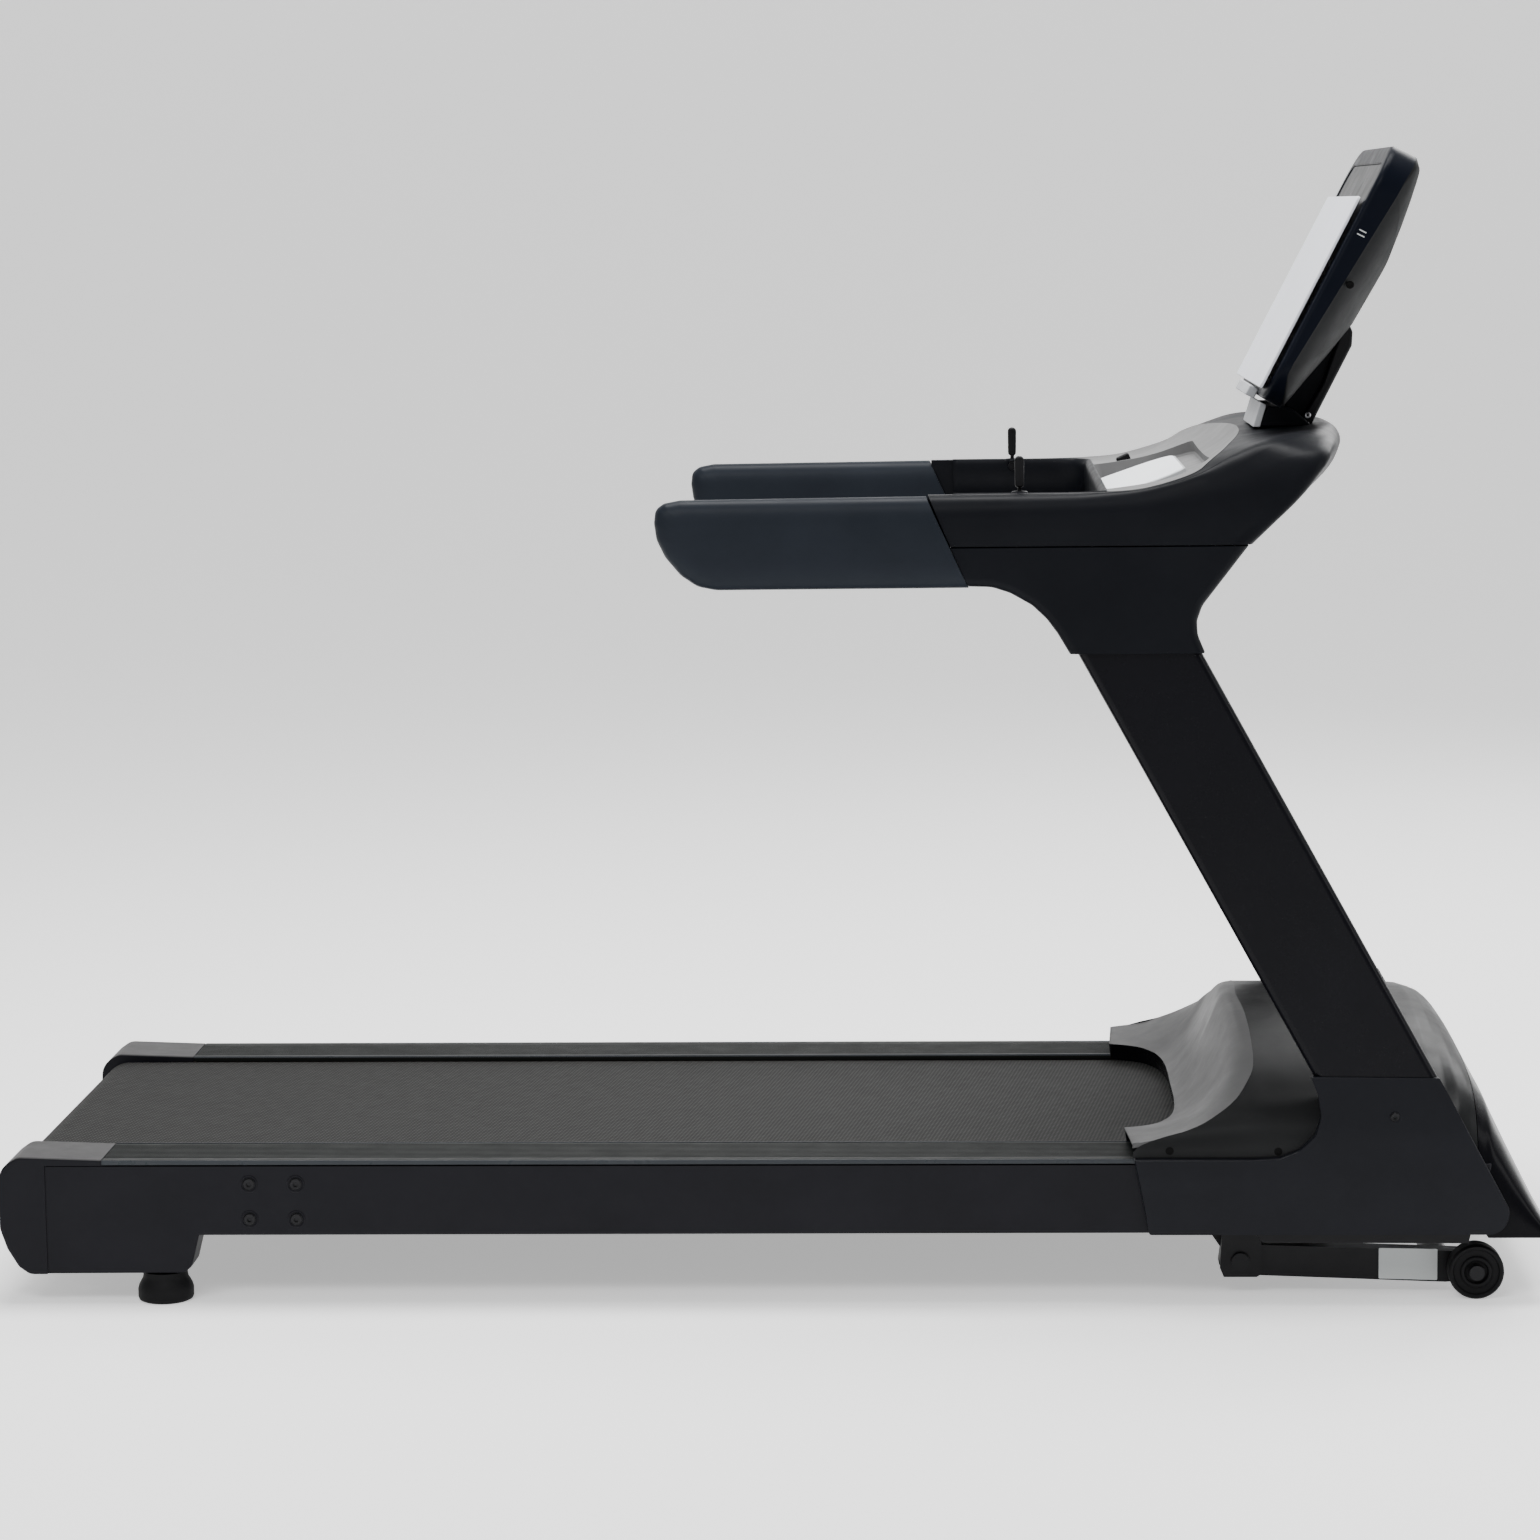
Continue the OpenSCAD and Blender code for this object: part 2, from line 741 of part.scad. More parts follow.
module wheel_bolts() {
    color([0.35, 0.35, 0.36])
        for (side = [0, 1]) mirror([0, side, 0]) {
            rod_y(wheel_x, wheel_r, arm_in, wheel_out + 0.5, wheel_bolt_r);
            rod_y(wheel_x, wheel_r, arm_out, wheel_in - 0.5, 10);
            rod_y(wheel_x, wheel_r, wheel_out + 0.5, wheel_out + 5, 10);
        }
}

module wheel() {
    difference() {
        rod_y(wheel_x, wheel_r, wheel_in, wheel_out, wheel_r);
        rod_y(wheel_x, wheel_r, wheel_in - 1, wheel_out + 1, wheel_bolt_r + running_gap);
        difference() {
            rod_y(wheel_x, wheel_r, wheel_out - 4, wheel_out + 1, 20);
            rod_y(wheel_x, wheel_r, wheel_out - 5, wheel_out + 2, 14);
        }
    }
}

module wheel_left() {
    color([0.06, 0.06, 0.06]) wheel();
}

module wheel_right() {
    color([0.06, 0.06, 0.06]) on_right() wheel();
}

module foot() {
    translate([foot_x, foot_y, 0]) rotate_extrude()
        polygon([[0, 0], [33, 0], [35.5, 3], [35.5, 12], [32, 16], [16, 22], [16, 30], [10, 32],
            [stem_r, 32], [stem_r, 90], [0, 90]]);
}

module foot_left() {
    color([0.06, 0.06, 0.06]) foot();
}

module foot_right() {
    color([0.06, 0.06, 0.06]) on_right() foot();
}

// Places its children along the actuator: local X runs from the crank pin towards the body.
module on_actuator() {
    translate([crank_x, actuator_y, crank_z]) rotate([0, -actuator_tilt, 0]) children();
}

module actuator_body() {
    color([0.25, 0.25, 0.27]) on_actuator() difference() {
        union() {
            translate([135, 0, 0]) rotate([0, 90, 0]) cylinder(r = 14, h = 155);
            translate([215, -13, -13]) cube([60, 26, 62]);
            translate([165, 0, 34]) rotate([0, 90, 0]) cylinder(r = 14, h = 90);
            translate([300, 13, 0]) rotate([90, 0, 0]) cylinder(r = 12, h = 26);
        }
        translate([134, 0, 0]) rotate([0, 90, 0]) cylinder(r = piston_r + running_gap, h = 162);
    }
}

// The eye's slot takes up the crank pin's arc, because the actuator body doesn't swing.
module actuator_rod() {
    slot_r = crank_pin_r + 0.6;
    rise = 4;
    color([0.7, 0.7, 0.72]) on_actuator() difference() {
        union() {
            translate([20, 0, 0]) rotate([0, 90, 0]) cylinder(r = piston_r, h = 230);
            translate([0, 4, 2]) rotate([90, 0, 0]) cylinder(r = 14, h = 8);
            translate([0, -4, -8]) cube([24, 8, 16]);
        }
        for (lift = [0, rise])
            translate([0, 5, lift]) rotate([90, 0, 0]) cylinder(r = slot_r, h = 10);
        translate([-slot_r, -5, 0]) cube([2 * slot_r, 10, rise]);
    }
}

// ---- Controls ----

module thumb_lever() {
    rod_y(lever_x, lever_pivot_z, lever_y - 4, lever_y + 4, 5);
    translate([lever_x, lever_y, lever_pivot_z]) cylinder(r = 3, h = 20);
    block([lever_x - 4.5, lever_y - 8, 1086], [lever_x + 4.5, lever_y + 8, 1125]);
}

module speed_lever() {
    color([0.06, 0.06, 0.06]) on_right() thumb_lever();
}

module incline_lever() {
    color([0.06, 0.06, 0.06]) thumb_lever();
}

module safety_key() {
    color([0.1, 0.1, 0.1]) on_dash() {
        translate([46.3, 282.3, -29]) cube([7.4, 3.4, 14]);
        translate([40, 276, -21.7]) cube([20, 16, 10]);
    }
}

module power_inlet() {
    y_low = inlet_y - 56;
    y_high = inlet_y + 56;
    color([0.08, 0.08, 0.08]) difference() {
        union() {
            block([984, y_low, inlet_z - 21], [988, y_high, inlet_z + 21]);
            block([966, inlet_y - 48, inlet_z - 14], [984, inlet_y - 8, inlet_z + 14]);
            block([966, inlet_y + 14, inlet_z - 14], [984, inlet_y + 46, inlet_z + 14]);
        }
        block([970, inlet_y - 42, inlet_z - 9], [989, inlet_y - 14, inlet_z + 9]);
        block([970, inlet_y + 18, inlet_z - 10.5], [989, inlet_y + 42, inlet_z + 10.5]);
    }
    color([0.7, 0.7, 0.7])
        for (y = [-35, -28, -21])
            block([970, inlet_y + y - 1, inlet_z - 4], [984, inlet_y + y + 1, inlet_z + 2]);
}

module power_switch() {
    half = 9.8;
    low_half = 7.8;
    color([0.06, 0.06, 0.06]) {
        plate([[976, inlet_z - half], [984, inlet_z - low_half], [988, inlet_z - low_half],
            [986.5, inlet_z], [990, inlet_z + half], [976, inlet_z + half]], inlet_y + 18.5, inlet_y + 41.5);
        rod_y(978, inlet_z, inlet_y + 18.2, inlet_y + 41.8, 3);
    }
}

frame_rail_left();
frame_rail_right();
cross_members();
motor_tray();
deck_board();
deck_cushions();
foot_rail_left();
foot_rail_right();
end_cap_left();
end_cap_right();
running_belt();
roller_axles();
belt_adjusting_bolts();
rear_roller();
front_roller();
drive_motor();
motor_rotor();
drive_belt();
motor_controller();
hood_scoop();
hood_top();
hood_nose();
side_cover_left();
side_cover_right();
cover_screws();
rail_bolts();
upright_left();
upright_right();
cowl_lower_left();
cowl_lower_right();
cowl_upper_left();
cowl_upper_right();
crossbar_cover();
dashboard();
keypad_plate();
handrail_left();
handrail_right();
console_neck();
mast_arm();
console_back();
console_bezel();
display_glass();
tablet_plate();
tablet_ledge();
lift_brackets();
lift_arm_left();
lift_arm_right();
lift_cross_tube();
wheel_bolts();
wheel_left();
wheel_right();
foot_left();
foot_right();
actuator_body();
actuator_rod();
speed_lever();
incline_lever();
safety_key();
power_inlet();
power_switch();
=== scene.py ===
"""Looks of the treadmill: moulded shells, rails, belt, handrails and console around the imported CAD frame."""

import math

import bmesh
import bpy
import numpy as np
from mathutils import Matrix, Vector


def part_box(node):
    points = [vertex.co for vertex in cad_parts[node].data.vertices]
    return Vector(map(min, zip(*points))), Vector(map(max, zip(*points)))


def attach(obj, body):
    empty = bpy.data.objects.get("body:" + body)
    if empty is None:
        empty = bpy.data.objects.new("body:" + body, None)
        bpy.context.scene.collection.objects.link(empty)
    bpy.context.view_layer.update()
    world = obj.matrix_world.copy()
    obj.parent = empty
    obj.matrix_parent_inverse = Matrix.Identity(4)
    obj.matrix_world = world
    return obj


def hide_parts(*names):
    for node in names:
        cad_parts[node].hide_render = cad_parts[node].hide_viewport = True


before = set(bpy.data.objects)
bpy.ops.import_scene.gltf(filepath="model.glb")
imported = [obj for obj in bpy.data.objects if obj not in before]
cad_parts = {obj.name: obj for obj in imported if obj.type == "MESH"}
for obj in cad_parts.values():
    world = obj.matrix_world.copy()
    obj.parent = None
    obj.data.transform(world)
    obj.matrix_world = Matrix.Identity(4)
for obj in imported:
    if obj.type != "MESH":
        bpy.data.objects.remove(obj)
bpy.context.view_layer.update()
MM = 0.001


def placed(name, data):
    """A new object in the scene that holds the data."""
    obj = bpy.data.objects.new(name, data)
    bpy.context.scene.collection.objects.link(obj)
    return obj


# ---------------- camera
def make_camera():
    """A long lens at the height of the console, a little ahead of the middle."""
    data = bpy.data.cameras.new("camera")
    data.sensor_width = 36
    data.lens = 98.93
    yaw, pitch, roll = math.radians(2.566), math.radians(7.546), math.radians(-0.6665)
    look = Vector((-math.sin(yaw) * math.cos(pitch), math.cos(yaw) * math.cos(pitch), -math.sin(pitch)))
    right = Vector((math.cos(yaw), math.sin(yaw), 0))
    up = right.cross(look)
    right_rolled = right * math.cos(roll) + up * math.sin(roll)
    up_rolled = up * math.cos(roll) - right * math.sin(roll)
    camera = placed("camera", data)
    camera.matrix_world = Matrix((right_rolled, up_rolled, -look)).transposed().to_4x4()
    camera.location = (0.2545, -5.8990, 1.4477)
    bpy.context.scene.camera = camera


make_camera()


# ---------------- outlines
def corner_arc(before, corner, after, radius, count):
    """Points of the arc that rounds one corner of a polygon; always the same number of them."""
    to_before, to_after = before - corner, after - corner
    len_before, len_after = np.linalg.norm(to_before) + 1e-9, np.linalg.norm(to_after) + 1e-9
    to_before, to_after = to_before / len_before, to_after / len_after
    half = math.acos(np.clip(to_before @ to_after, -1, 1)) / 2
    if count == 1 or half > math.radians(89.5):
        return [corner] * count
    reach = min(radius / math.tan(half), len_before * 0.49, len_after * 0.49)
    radius = reach * math.tan(half)
    middle = to_before + to_after
    centre = corner + middle / np.linalg.norm(middle) * radius / math.sin(half)
    start, end = corner + to_before * reach - centre, corner + to_after * reach - centre
    turn = math.atan2(start[0] * end[1] - start[1] * end[0], start @ end)
    points = []
    for angle in turn * np.arange(count) / (count - 1):
        c, s = math.cos(angle), math.sin(angle)
        points.append(centre + np.array([[c, -s], [s, c]]) @ start)
    return points


def turning(before, corner, after):
    """How far the outline turns at a corner, positive to the left."""
    into, out = corner - before, after - corner
    return math.atan2(into[0] * out[1] - into[1] * out[0], into @ out)


def rounded(points, steps=6, drawn=0.0):
    """A closed outline from (a, b, radius, share) corners, drawn inwards by a distance.

    The share says how much of that distance the edge starting at the corner moves."""
    corners = [(tuple(p) + (0, 1))[:4] if len(p) == 2 else (tuple(p) + (1,))[:4] for p in points]
    flat = np.array([c[:2] for c in corners], float)
    count = len(corners)
    hand = 1.0 if area(flat) > 0 else -1.0
    normals = inward(flat)
    moves = [drawn * c[3] for c in corners]
    moved = []
    for i in range(count):
        n1, n2, d1, d2 = normals[i - 1], normals[i], moves[i - 1], moves[i]
        system = np.array([n1, n2])
        if abs(np.linalg.det(system)) > 0.12:
            moved.append(flat[i] + np.linalg.solve(system, [d1, d2]))
        else:
            middle = n1 + n2
            moved.append(flat[i] + middle / np.linalg.norm(middle) * (d1 + d2) / 2)
    outline = []
    for i in range(count):
        before, corner, after = moved[i - 1], moved[i], moved[(i + 1) % count]
        turn = hand * turning(flat[i - 1], flat[i], flat[(i + 1) % count])
        radius = corners[i][2]
        number = 1 if radius <= 0 or abs(turn) < 0.02 else max(2, int(steps * abs(turn) / 0.8) + 2)
        shrink = min(moves[i - 1], moves[i])
        radius = max(0.02, radius - shrink) if turn > 0 else radius + shrink
        outline += corner_arc(before, corner, after, radius, number)
    return np.array(outline)


def smooth_curve(points):
    """A Catmull-Rom curve through the points, ends included."""
    per = 6
    p = np.array(points, float)
    p = np.vstack([2 * p[0] - p[1], p, 2 * p[-1] - p[-2]])
    out = []
    for i in range(1, len(p) - 2):
        for t in np.arange(per) / per:
            out.append(0.5 * (2 * p[i] + (p[i + 1] - p[i - 1]) * t
                              + (2 * p[i - 1] - 5 * p[i] + 4 * p[i + 1] - p[i + 2]) * t ** 2
                              + (3 * p[i] - p[i - 1] - 3 * p[i + 1] + p[i + 2]) * t ** 3))
    out.append(p[-2])
    return np.array(out)


def over_middle(points):
    """A smooth curve from the left side over the middle to the right side."""
    half = smooth_curve(points)
    flip = np.array([1, -1, 1])[:half.shape[1]]
    return np.vstack([half, half[::-1][1:] * flip])


def spaced(points, count):
    """The same open curve with evenly spaced points."""
    p = np.array(points, float)
    along = np.concatenate([[0], np.cumsum(np.linalg.norm(np.diff(p, axis=0), axis=1))])
    at = np.linspace(0, along[-1], count)
    return np.stack([np.interp(at, along, p[:, k]) for k in range(p.shape[1])], axis=1)


def area(outline):
    """Signed area of a closed outline, positive when it runs anticlockwise."""
    a, b = outline[:, 0], outline[:, 1]
    return 0.5 * np.sum(a * np.roll(b, -1) - b * np.roll(a, -1))


def unit(rows):
    return rows / (np.linalg.norm(rows, axis=1, keepdims=True) + 1e-9)


def inward(outline):
    """Unit normals of a closed outline's edges, each for the edge that starts at its corner."""
    edges = unit(np.roll(outline, -1, axis=0) - outline)
    hand = 1.0 if area(outline) > 0 else -1.0
    return hand * np.stack([-edges[:, 1], edges[:, 0]], 1)


def inset(outline, distance):
    """The outline moved inwards by a distance, corner by corner."""
    after = inward(outline)
    normal = unit(np.roll(after, 1, axis=0) + after)
    stretch = np.clip(np.sum(normal * after, axis=1), 0.5, 1)
    return outline + normal * (distance / stretch)[:, None]


# ---------------- meshes
def settle(mesh, weld=0.0):
    """Joins corners closer than the weld in millimetres, where one is given, and turns faces outwards."""
    work = bmesh.new()
    work.from_mesh(mesh)
    if weld:
        bmesh.ops.remove_doubles(work, verts=work.verts, dist=weld * MM)
    bmesh.ops.recalc_face_normals(work, faces=work.faces)
    work.to_mesh(mesh)
    work.free()


def scratch(name, verts, faces, weld=0.0):
    """A bare object from millimetre vertices, to cut with or to finish as a piece."""
    mesh = bpy.data.meshes.new(name)
    mesh.from_pydata([tuple(c * MM for c in v) for v in verts], [], [tuple(int(i) for i in f) for f in faces])
    settle(mesh, weld)
    return placed(name, mesh)


def finish_piece(obj, material, replaces=(), sharp=32, body="frame"):
    """Shades an object smooth between sharp edges, gives it its material and hangs it on a body."""
    mesh = obj.data
    settle(mesh)
    for polygon in mesh.polygons:
        polygon.use_smooth = True
    mesh.set_sharp_from_angle(angle=math.radians(sharp))
    even = obj.modifiers.new("normals", "WEIGHTED_NORMAL")
    even.weight = 100
    even.keep_sharp = True
    mesh.materials.clear()
    mesh.materials.append(material)
    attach(obj, body)
    if replaces:
        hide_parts(*replaces)


def add_piece(name, verts, faces, material, replaces=(), slot=None, sharp=32, weld=0.0, body="frame"):
    """A finished piece from millimetre vertices."""
    obj = scratch(name, verts, faces, weld)
    obj.data.validate()
    finish_piece(obj, material, replaces, sharp, body)
    return obj


def add_wall(obj, thickness, offset):
    """Gives an open skin a wall, inwards for an offset of -1 and outwards for 1."""
    wall = obj.modifiers.new("wall", "SOLIDIFY")
    wall.thickness = thickness * MM
    wall.offset = offset


def loft(rings, closed=True, caps=(True, True)):
    """Quads between rings of equal length, with a face on each open end."""
    count = len(rings[0])
    verts = [tuple(p) for ring in rings for p in ring]
    faces = []
    for r in range(len(rings) - 1):
        for i in range(count if closed else count - 1):
            j = (i + 1) % count
            faces.append((r * count + i, r * count + j, (r + 1) * count + j, (r + 1) * count + i))
    if caps[0]:
        faces.append(tuple(range(count))[::-1])
    if caps[1]:
        faces.append(tuple((len(rings) - 1) * count + i for i in range(count)))
    return verts, faces


def plate(corners, y_low, y_high, r_low=2.0, r_high=2.0, steps=5):
    """A plate with an XZ outline between two values of Y and round edges, as (verts, faces)."""
    quarter = [math.pi / 2 * i / steps for i in range(steps + 1)]
    stations = [(y_low + r_low * (1 - math.sin(a)), r_low * (1 - math.cos(a))) for a in quarter[::-1]]
    stations += [(y_high - r_high * (1 - math.sin(a)), r_high * (1 - math.cos(a))) for a in quarter]
    return loft([[(p[0], y, p[1]) for p in rounded(corners, 6, drawn)] for y, drawn in stations])


def block(corners, y_low, y_high):
    """A plain cutter with an XZ outline."""
    return plate(corners, y_low, y_high, 0.1, 0.1, 1)


def mirrored(verts, faces):
    return [(x, -y, z) for x, y, z in verts], [tuple(reversed(f)) for f in faces]


def both_sides(name, shape, material, replaces=(), **options):
    """Adds a left piece and its mirror image on the right."""
    for side, (verts, faces) in (("left", shape), ("right", mirrored(*shape))):
        nodes = [f"{n}_{side}" for n in replaces]
        add_piece(f"{name}_{side}", verts, faces, material, nodes, **options)


def turned(profile, centre, axis, steps=64):
    """A lathe shape about Y or Z: profile of (radius, distance along the axis)."""
    verts = []
    for k in range(steps):
        angle = 2 * math.pi * k / steps
        for r, h in profile:
            a, b = r * math.cos(angle), r * math.sin(angle)
            reach = (a, h, b) if axis == "y" else (a, b, h)
            verts.append(tuple(c + d for c, d in zip(centre, reach)))
    count = len(profile)
    faces = []
    for k in range(steps):
        n = (k + 1) % steps
        for i in range(count - 1):
            faces.append((k * count + i, k * count + i + 1, n * count + i + 1, n * count + i))
    return verts, faces


def joined(*shapes):
    """Several (verts, faces) shapes as one."""
    verts, faces = [], []
    for v, f in shapes:
        start = len(verts)
        verts += list(v)
        faces += [tuple(i + start for i in face) for face in f]
    return verts, faces


def cut(obj, cutters, operation="DIFFERENCE"):
    """Applies booleans to an object and removes the cutters."""
    for cutter in cutters:
        boolean = obj.modifiers.new("cut", "BOOLEAN")
        boolean.operation = operation
        boolean.solver = "EXACT"
        boolean.object = cutter
    graph = bpy.context.evaluated_depsgraph_get()
    result = bpy.data.meshes.new_from_object(obj.evaluated_get(graph))
    obj.modifiers.clear()
    old = obj.data
    obj.data = result
    bpy.data.meshes.remove(old)
    for cutter in cutters:
        data = cutter.data
        bpy.data.objects.remove(cutter)
        bpy.data.meshes.remove(data)
    return obj


def mirror_copy(obj):
    """The object's mirror image across the middle of the treadmill."""
    mesh = obj.data.copy()
    mesh.transform(Matrix.Scale(-1, 4, (0, 1, 0)))
    return placed(obj.name, mesh)


# ---------------- materials
class Graph:
    """Short calls for building one material's nodes."""

    def __init__(self, name):
        self.material = bpy.data.materials.new(name)
        self.material.use_nodes = True
        self.tree = self.material.node_tree
        self.shader = self.tree.nodes["Principled BSDF"]
        self.place = self.tree.nodes.new("ShaderNodeTexCoord").outputs["Object"]

    def add(self, kind, **values):
        """A node with its settings and the values of its sockets."""
        node = self.tree.nodes.new(kind)
        for key, value in values.items():
            if hasattr(node, key):
                setattr(node, key, value)
            else:
                node.inputs[key.capitalize()].default_value = value
        return node

    def link(self, source, target):
        self.tree.links.new(source, target)

    def texture(self, kind, moved, **values):
        """A texture over the object's own coordinates, which are scaled or turned first."""
        mapping = self.add("ShaderNodeMapping", **moved)
        self.link(self.place, mapping.inputs["Vector"])
        texture = self.add(kind, **values)
        self.link(mapping.outputs["Vector"], texture.inputs["Vector"])
        return texture.outputs["Fac"]

    def noise(self, scale, detail, rough, stretch=(1, 1, 1)):
        return self.texture("ShaderNodeTexNoise", {"scale": stretch}, scale=scale, detail=detail,
                            roughness=rough)

    def bands(self, degrees, scale, **values):
        """Stripes across X, turned about Z."""
        turn = {"rotation": (0, 0, math.radians(degrees))}
        return self.texture("ShaderNodeTexWave", turn, wave_type="BANDS", bands_direction="X", scale=scale,
                            **values)

    def ramp(self, source, low, high, low_at=0.3, high_at=0.7):
        """Maps a 0 to 1 value to a colour or a number between two ends."""
        ramp = self.add("ShaderNodeValToRGB")
        for stop, at, end in zip(ramp.color_ramp.elements, (low_at, high_at), (low, high)):
            stop.position = at
            stop.color = (*end, 1) if hasattr(end, "__len__") else (end, end, end, 1)
        self.link(source, ramp.inputs["Fac"])
        return ramp.outputs["Color"]

    def surface(self, colour, rough, height, strength, depth):
        """Links colour, roughness and a bump to the shader, and gives the finished material."""
        bump = self.add("ShaderNodeBump", strength=strength, distance=depth)
        self.link(height, bump.inputs["Height"])
        sources = {"Base Color": colour, "Roughness": rough, "Normal": bump.outputs["Normal"]}
        for socket, source in sources.items():
            self.link(source, self.shader.inputs[socket])
        return self.material


def moulded(name, colour, rough=0.45, grain=900, grain_depth=0.00006, vary=0.12, metal=0.0, specular=0.25):
    """Moulded or painted surface: fine grain, cloudy colour and uneven gloss."""
    g = Graph(name)
    g.shader.inputs["Metallic"].default_value = metal
    g.shader.inputs["Specular IOR Level"].default_value = specular
    dark = [c * (1 - vary) for c in colour]
    light = [min(1, c * (1 + vary)) for c in colour]
    cloudy = g.ramp(g.noise(7, 4, 0.6), dark, light)
    smudged = g.ramp(g.noise(23, 5, 0.65), max(0.03, rough - 0.05), rough + 0.06)
    return g.surface(cloudy, smudged, g.noise(grain, 2, 0.6), 0.6, grain_depth)


def brushed(name, colour, rough):
    """Machined metal with fine lines along Y."""
    g = Graph(name)
    g.shader.inputs["Metallic"].default_value = 1.0
    lines = g.noise(260, 3, 0.7, (4, 1, 4))
    shade = g.ramp(lines, [c * 0.8 for c in colour], colour)
    return g.surface(shade, g.ramp(lines, rough - 0.06, rough + 0.12), lines, 0.3, 0.00005)


def belt_material():
    """Running belt: fine slanted ribs pressed into a dark weave, coloured by their height as painted shade in
    the grooves and painted light on the rib tops.
    """
    g = Graph("running_belt_weave")
    g.shader.inputs["Specular IOR Level"].default_value = 0.12
    crossed = g.add("ShaderNodeMath", operation="MULTIPLY")
    g.link(g.bands(8, 62, distortion=0.15, detail=1.0), crossed.inputs[0])
    g.link(g.bands(-60, 40), crossed.inputs[1])
    height = crossed.outputs[0]
    # The belt's own colour is dark; the spread from near black in the grooves to lighter on the ribs is
    # painted shade and light.
    shade = g.ramp(height, (0.004, 0.004, 0.004), (0.04, 0.04, 0.038), 0.0, 0.9)
    return g.surface(shade, g.ramp(g.noise(60, 4, 0.6), 0.66, 0.72), height, 0.7, 0.0005)


def wood_material():
    """Phenolic-faced board: dark fibres along the deck."""
    g = Graph("deck_board_fibre")
    grain = g.noise(30, 6, 0.7, (0.6, 8, 8))
    shade = g.ramp(grain, (0.07, 0.045, 0.03), (0.2, 0.13, 0.08))
    return g.surface(shade, g.ramp(grain, 0.45, 0.65), grain, 0.4, 0.0003)


BLACK_SATIN = moulded("black_satin", (0.0058, 0.0062, 0.0085), 0.4, specular=0.1)
COWL_BLACK = moulded("cowl_black", (0.0052, 0.0057, 0.0075), 0.4, specular=0.055)
PAINT = {"grain": 1400, "grain_depth": 0.00003}
UPRIGHT_BLACK = moulded("upright_black", (0.0028, 0.0028, 0.0042), 0.28, specular=0.09, **PAINT)
RAIL_BLACK = moulded("rail_black", (0.0062, 0.0062, 0.0085), 0.4, specular=0.1, **PAINT)
HOOD_GREY = moulded("hood_grey", (0.068, 0.068, 0.069), 0.42, specular=0.12)
HOOD_DARK = moulded("hood_dark", (0.012, 0.0125, 0.013), 0.36, specular=0.07)
NOSE_BLACK = moulded("nose_black", (0.003, 0.003, 0.004), 0.26, specular=0.06)
CAP_GREY = moulded("cap_grey", (0.052, 0.051, 0.052), 0.5, specular=0.1)
TRIM = moulded("trim_dark", (0.006, 0.0072, 0.0066), 0.4, specular=0.1)
# Bead colour lighter than the trim: painted highlight along the foot rails' edges and painted sky reflection
# on the outer skirt.
TRIM_EDGE_PAINTED_HIGHLIGHT = moulded("trim_edge_painted_highlight", (0.018, 0.0215, 0.026), 0.3, specular=0.2)
DASH_GREY = moulded("dash_grey", (0.15, 0.15, 0.151), 0.45, specular=0.12)
PAD_WHITE = moulded("pad_white", (0.9, 0.93, 0.95), 0.4, vary=0.02)
# Grey copy of the white pad: painted shade standing for the keypad plate's edge in shadow.
PAD_RIM_PAINTED_SHADE = moulded("pad_rim_painted_shade", (0.42, 0.43, 0.44), 0.4, vary=0.05)
GRIP = moulded("grip", (0.0118, 0.0146, 0.0198), 0.4, specular=0.07)
LIGHT_GREY = moulded("light_grey", (0.42, 0.43, 0.45), 0.45, vary=0.05)
PLATE_GREY = moulded("plate_grey", (0.72, 0.74, 0.79), 0.4, vary=0.03)
BEZEL = moulded("bezel_gloss", (0.003, 0.004, 0.0075), 0.34, specular=0.05)
BACK_SHELL = moulded("back_shell", (0.011, 0.0115, 0.0122), 0.42, specular=0.012)
GLASS = moulded("display_glass", (0.009, 0.0095, 0.0105), 0.3, grain_depth=0.000005, vary=0.05, specular=0.06)
RUBBER = moulded("rubber", (0.005, 0.005, 0.0055), 0.6, grain=1600, grain_depth=0.0001, specular=0.12)
BLACK_METAL = moulded("black_metal", (0.0045, 0.0045, 0.0055), 0.38, specular=0.14)
BOLT = moulded("bolt_black", (0.012, 0.012, 0.013), 0.3, metal=0.7)
SCREW_DARK = moulded("screw_dark", (0.004, 0.004, 0.004), 0.6, specular=0.05)
STEEL = brushed("steel", (0.55, 0.55, 0.57), 0.28)
ZINC = moulded("zinc_sheet", (0.4, 0.41, 0.43), 0.4, metal=0.9, vary=0.2)
BELT = belt_material()
WOOD = wood_material()
LABEL = moulded("label_white", (0.45, 0.47, 0.47), 0.5, vary=0.04)

# The carried-over CAD nodes take these finishes.
CAD_FINISH = {
    BLACK_METAL: ["cross_members", "lift_brackets", "lift_arm_left", "lift_arm_right", "lift_cross_tube",
                  "drive_motor", "actuator_body", "power_inlet", "power_switch"],
    BOLT: ["wheel_bolts"],
    ZINC: ["motor_tray", "motor_controller"],
    WOOD: ["deck_board"],
    RUBBER: ["deck_cushions", "drive_belt"],
    STEEL: ["roller_axles", "belt_adjusting_bolts", "rear_roller", "front_roller", "motor_rotor",
            "actuator_rod"],
}


def finish_cad_nodes():
    for material, names in CAD_FINISH.items():
        for name in names:
            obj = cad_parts[name]
            obj.data.materials.clear()
            obj.data.materials.append(material)


finish_cad_nodes()


# ---------------- deck
def section_along_x(corners, x_low, x_high, chamfer=0.6, steps=5):
    """A YZ section extruded along X with slightly drawn-in ends."""
    rings = []
    for x, drawn in ((x_low, chamfer), (x_low + chamfer, 0), (x_high - chamfer, 0), (x_high, chamfer)):
        rings.append([(x, p[0], p[1]) for p in rounded(corners, steps, drawn)])
    return loft(rings)


RAIL_REAR = -971
RAIL_FACE = 399.0
FOOT_RAIL_REAR = -893
SIDES = (("left", 1), ("right", -1))


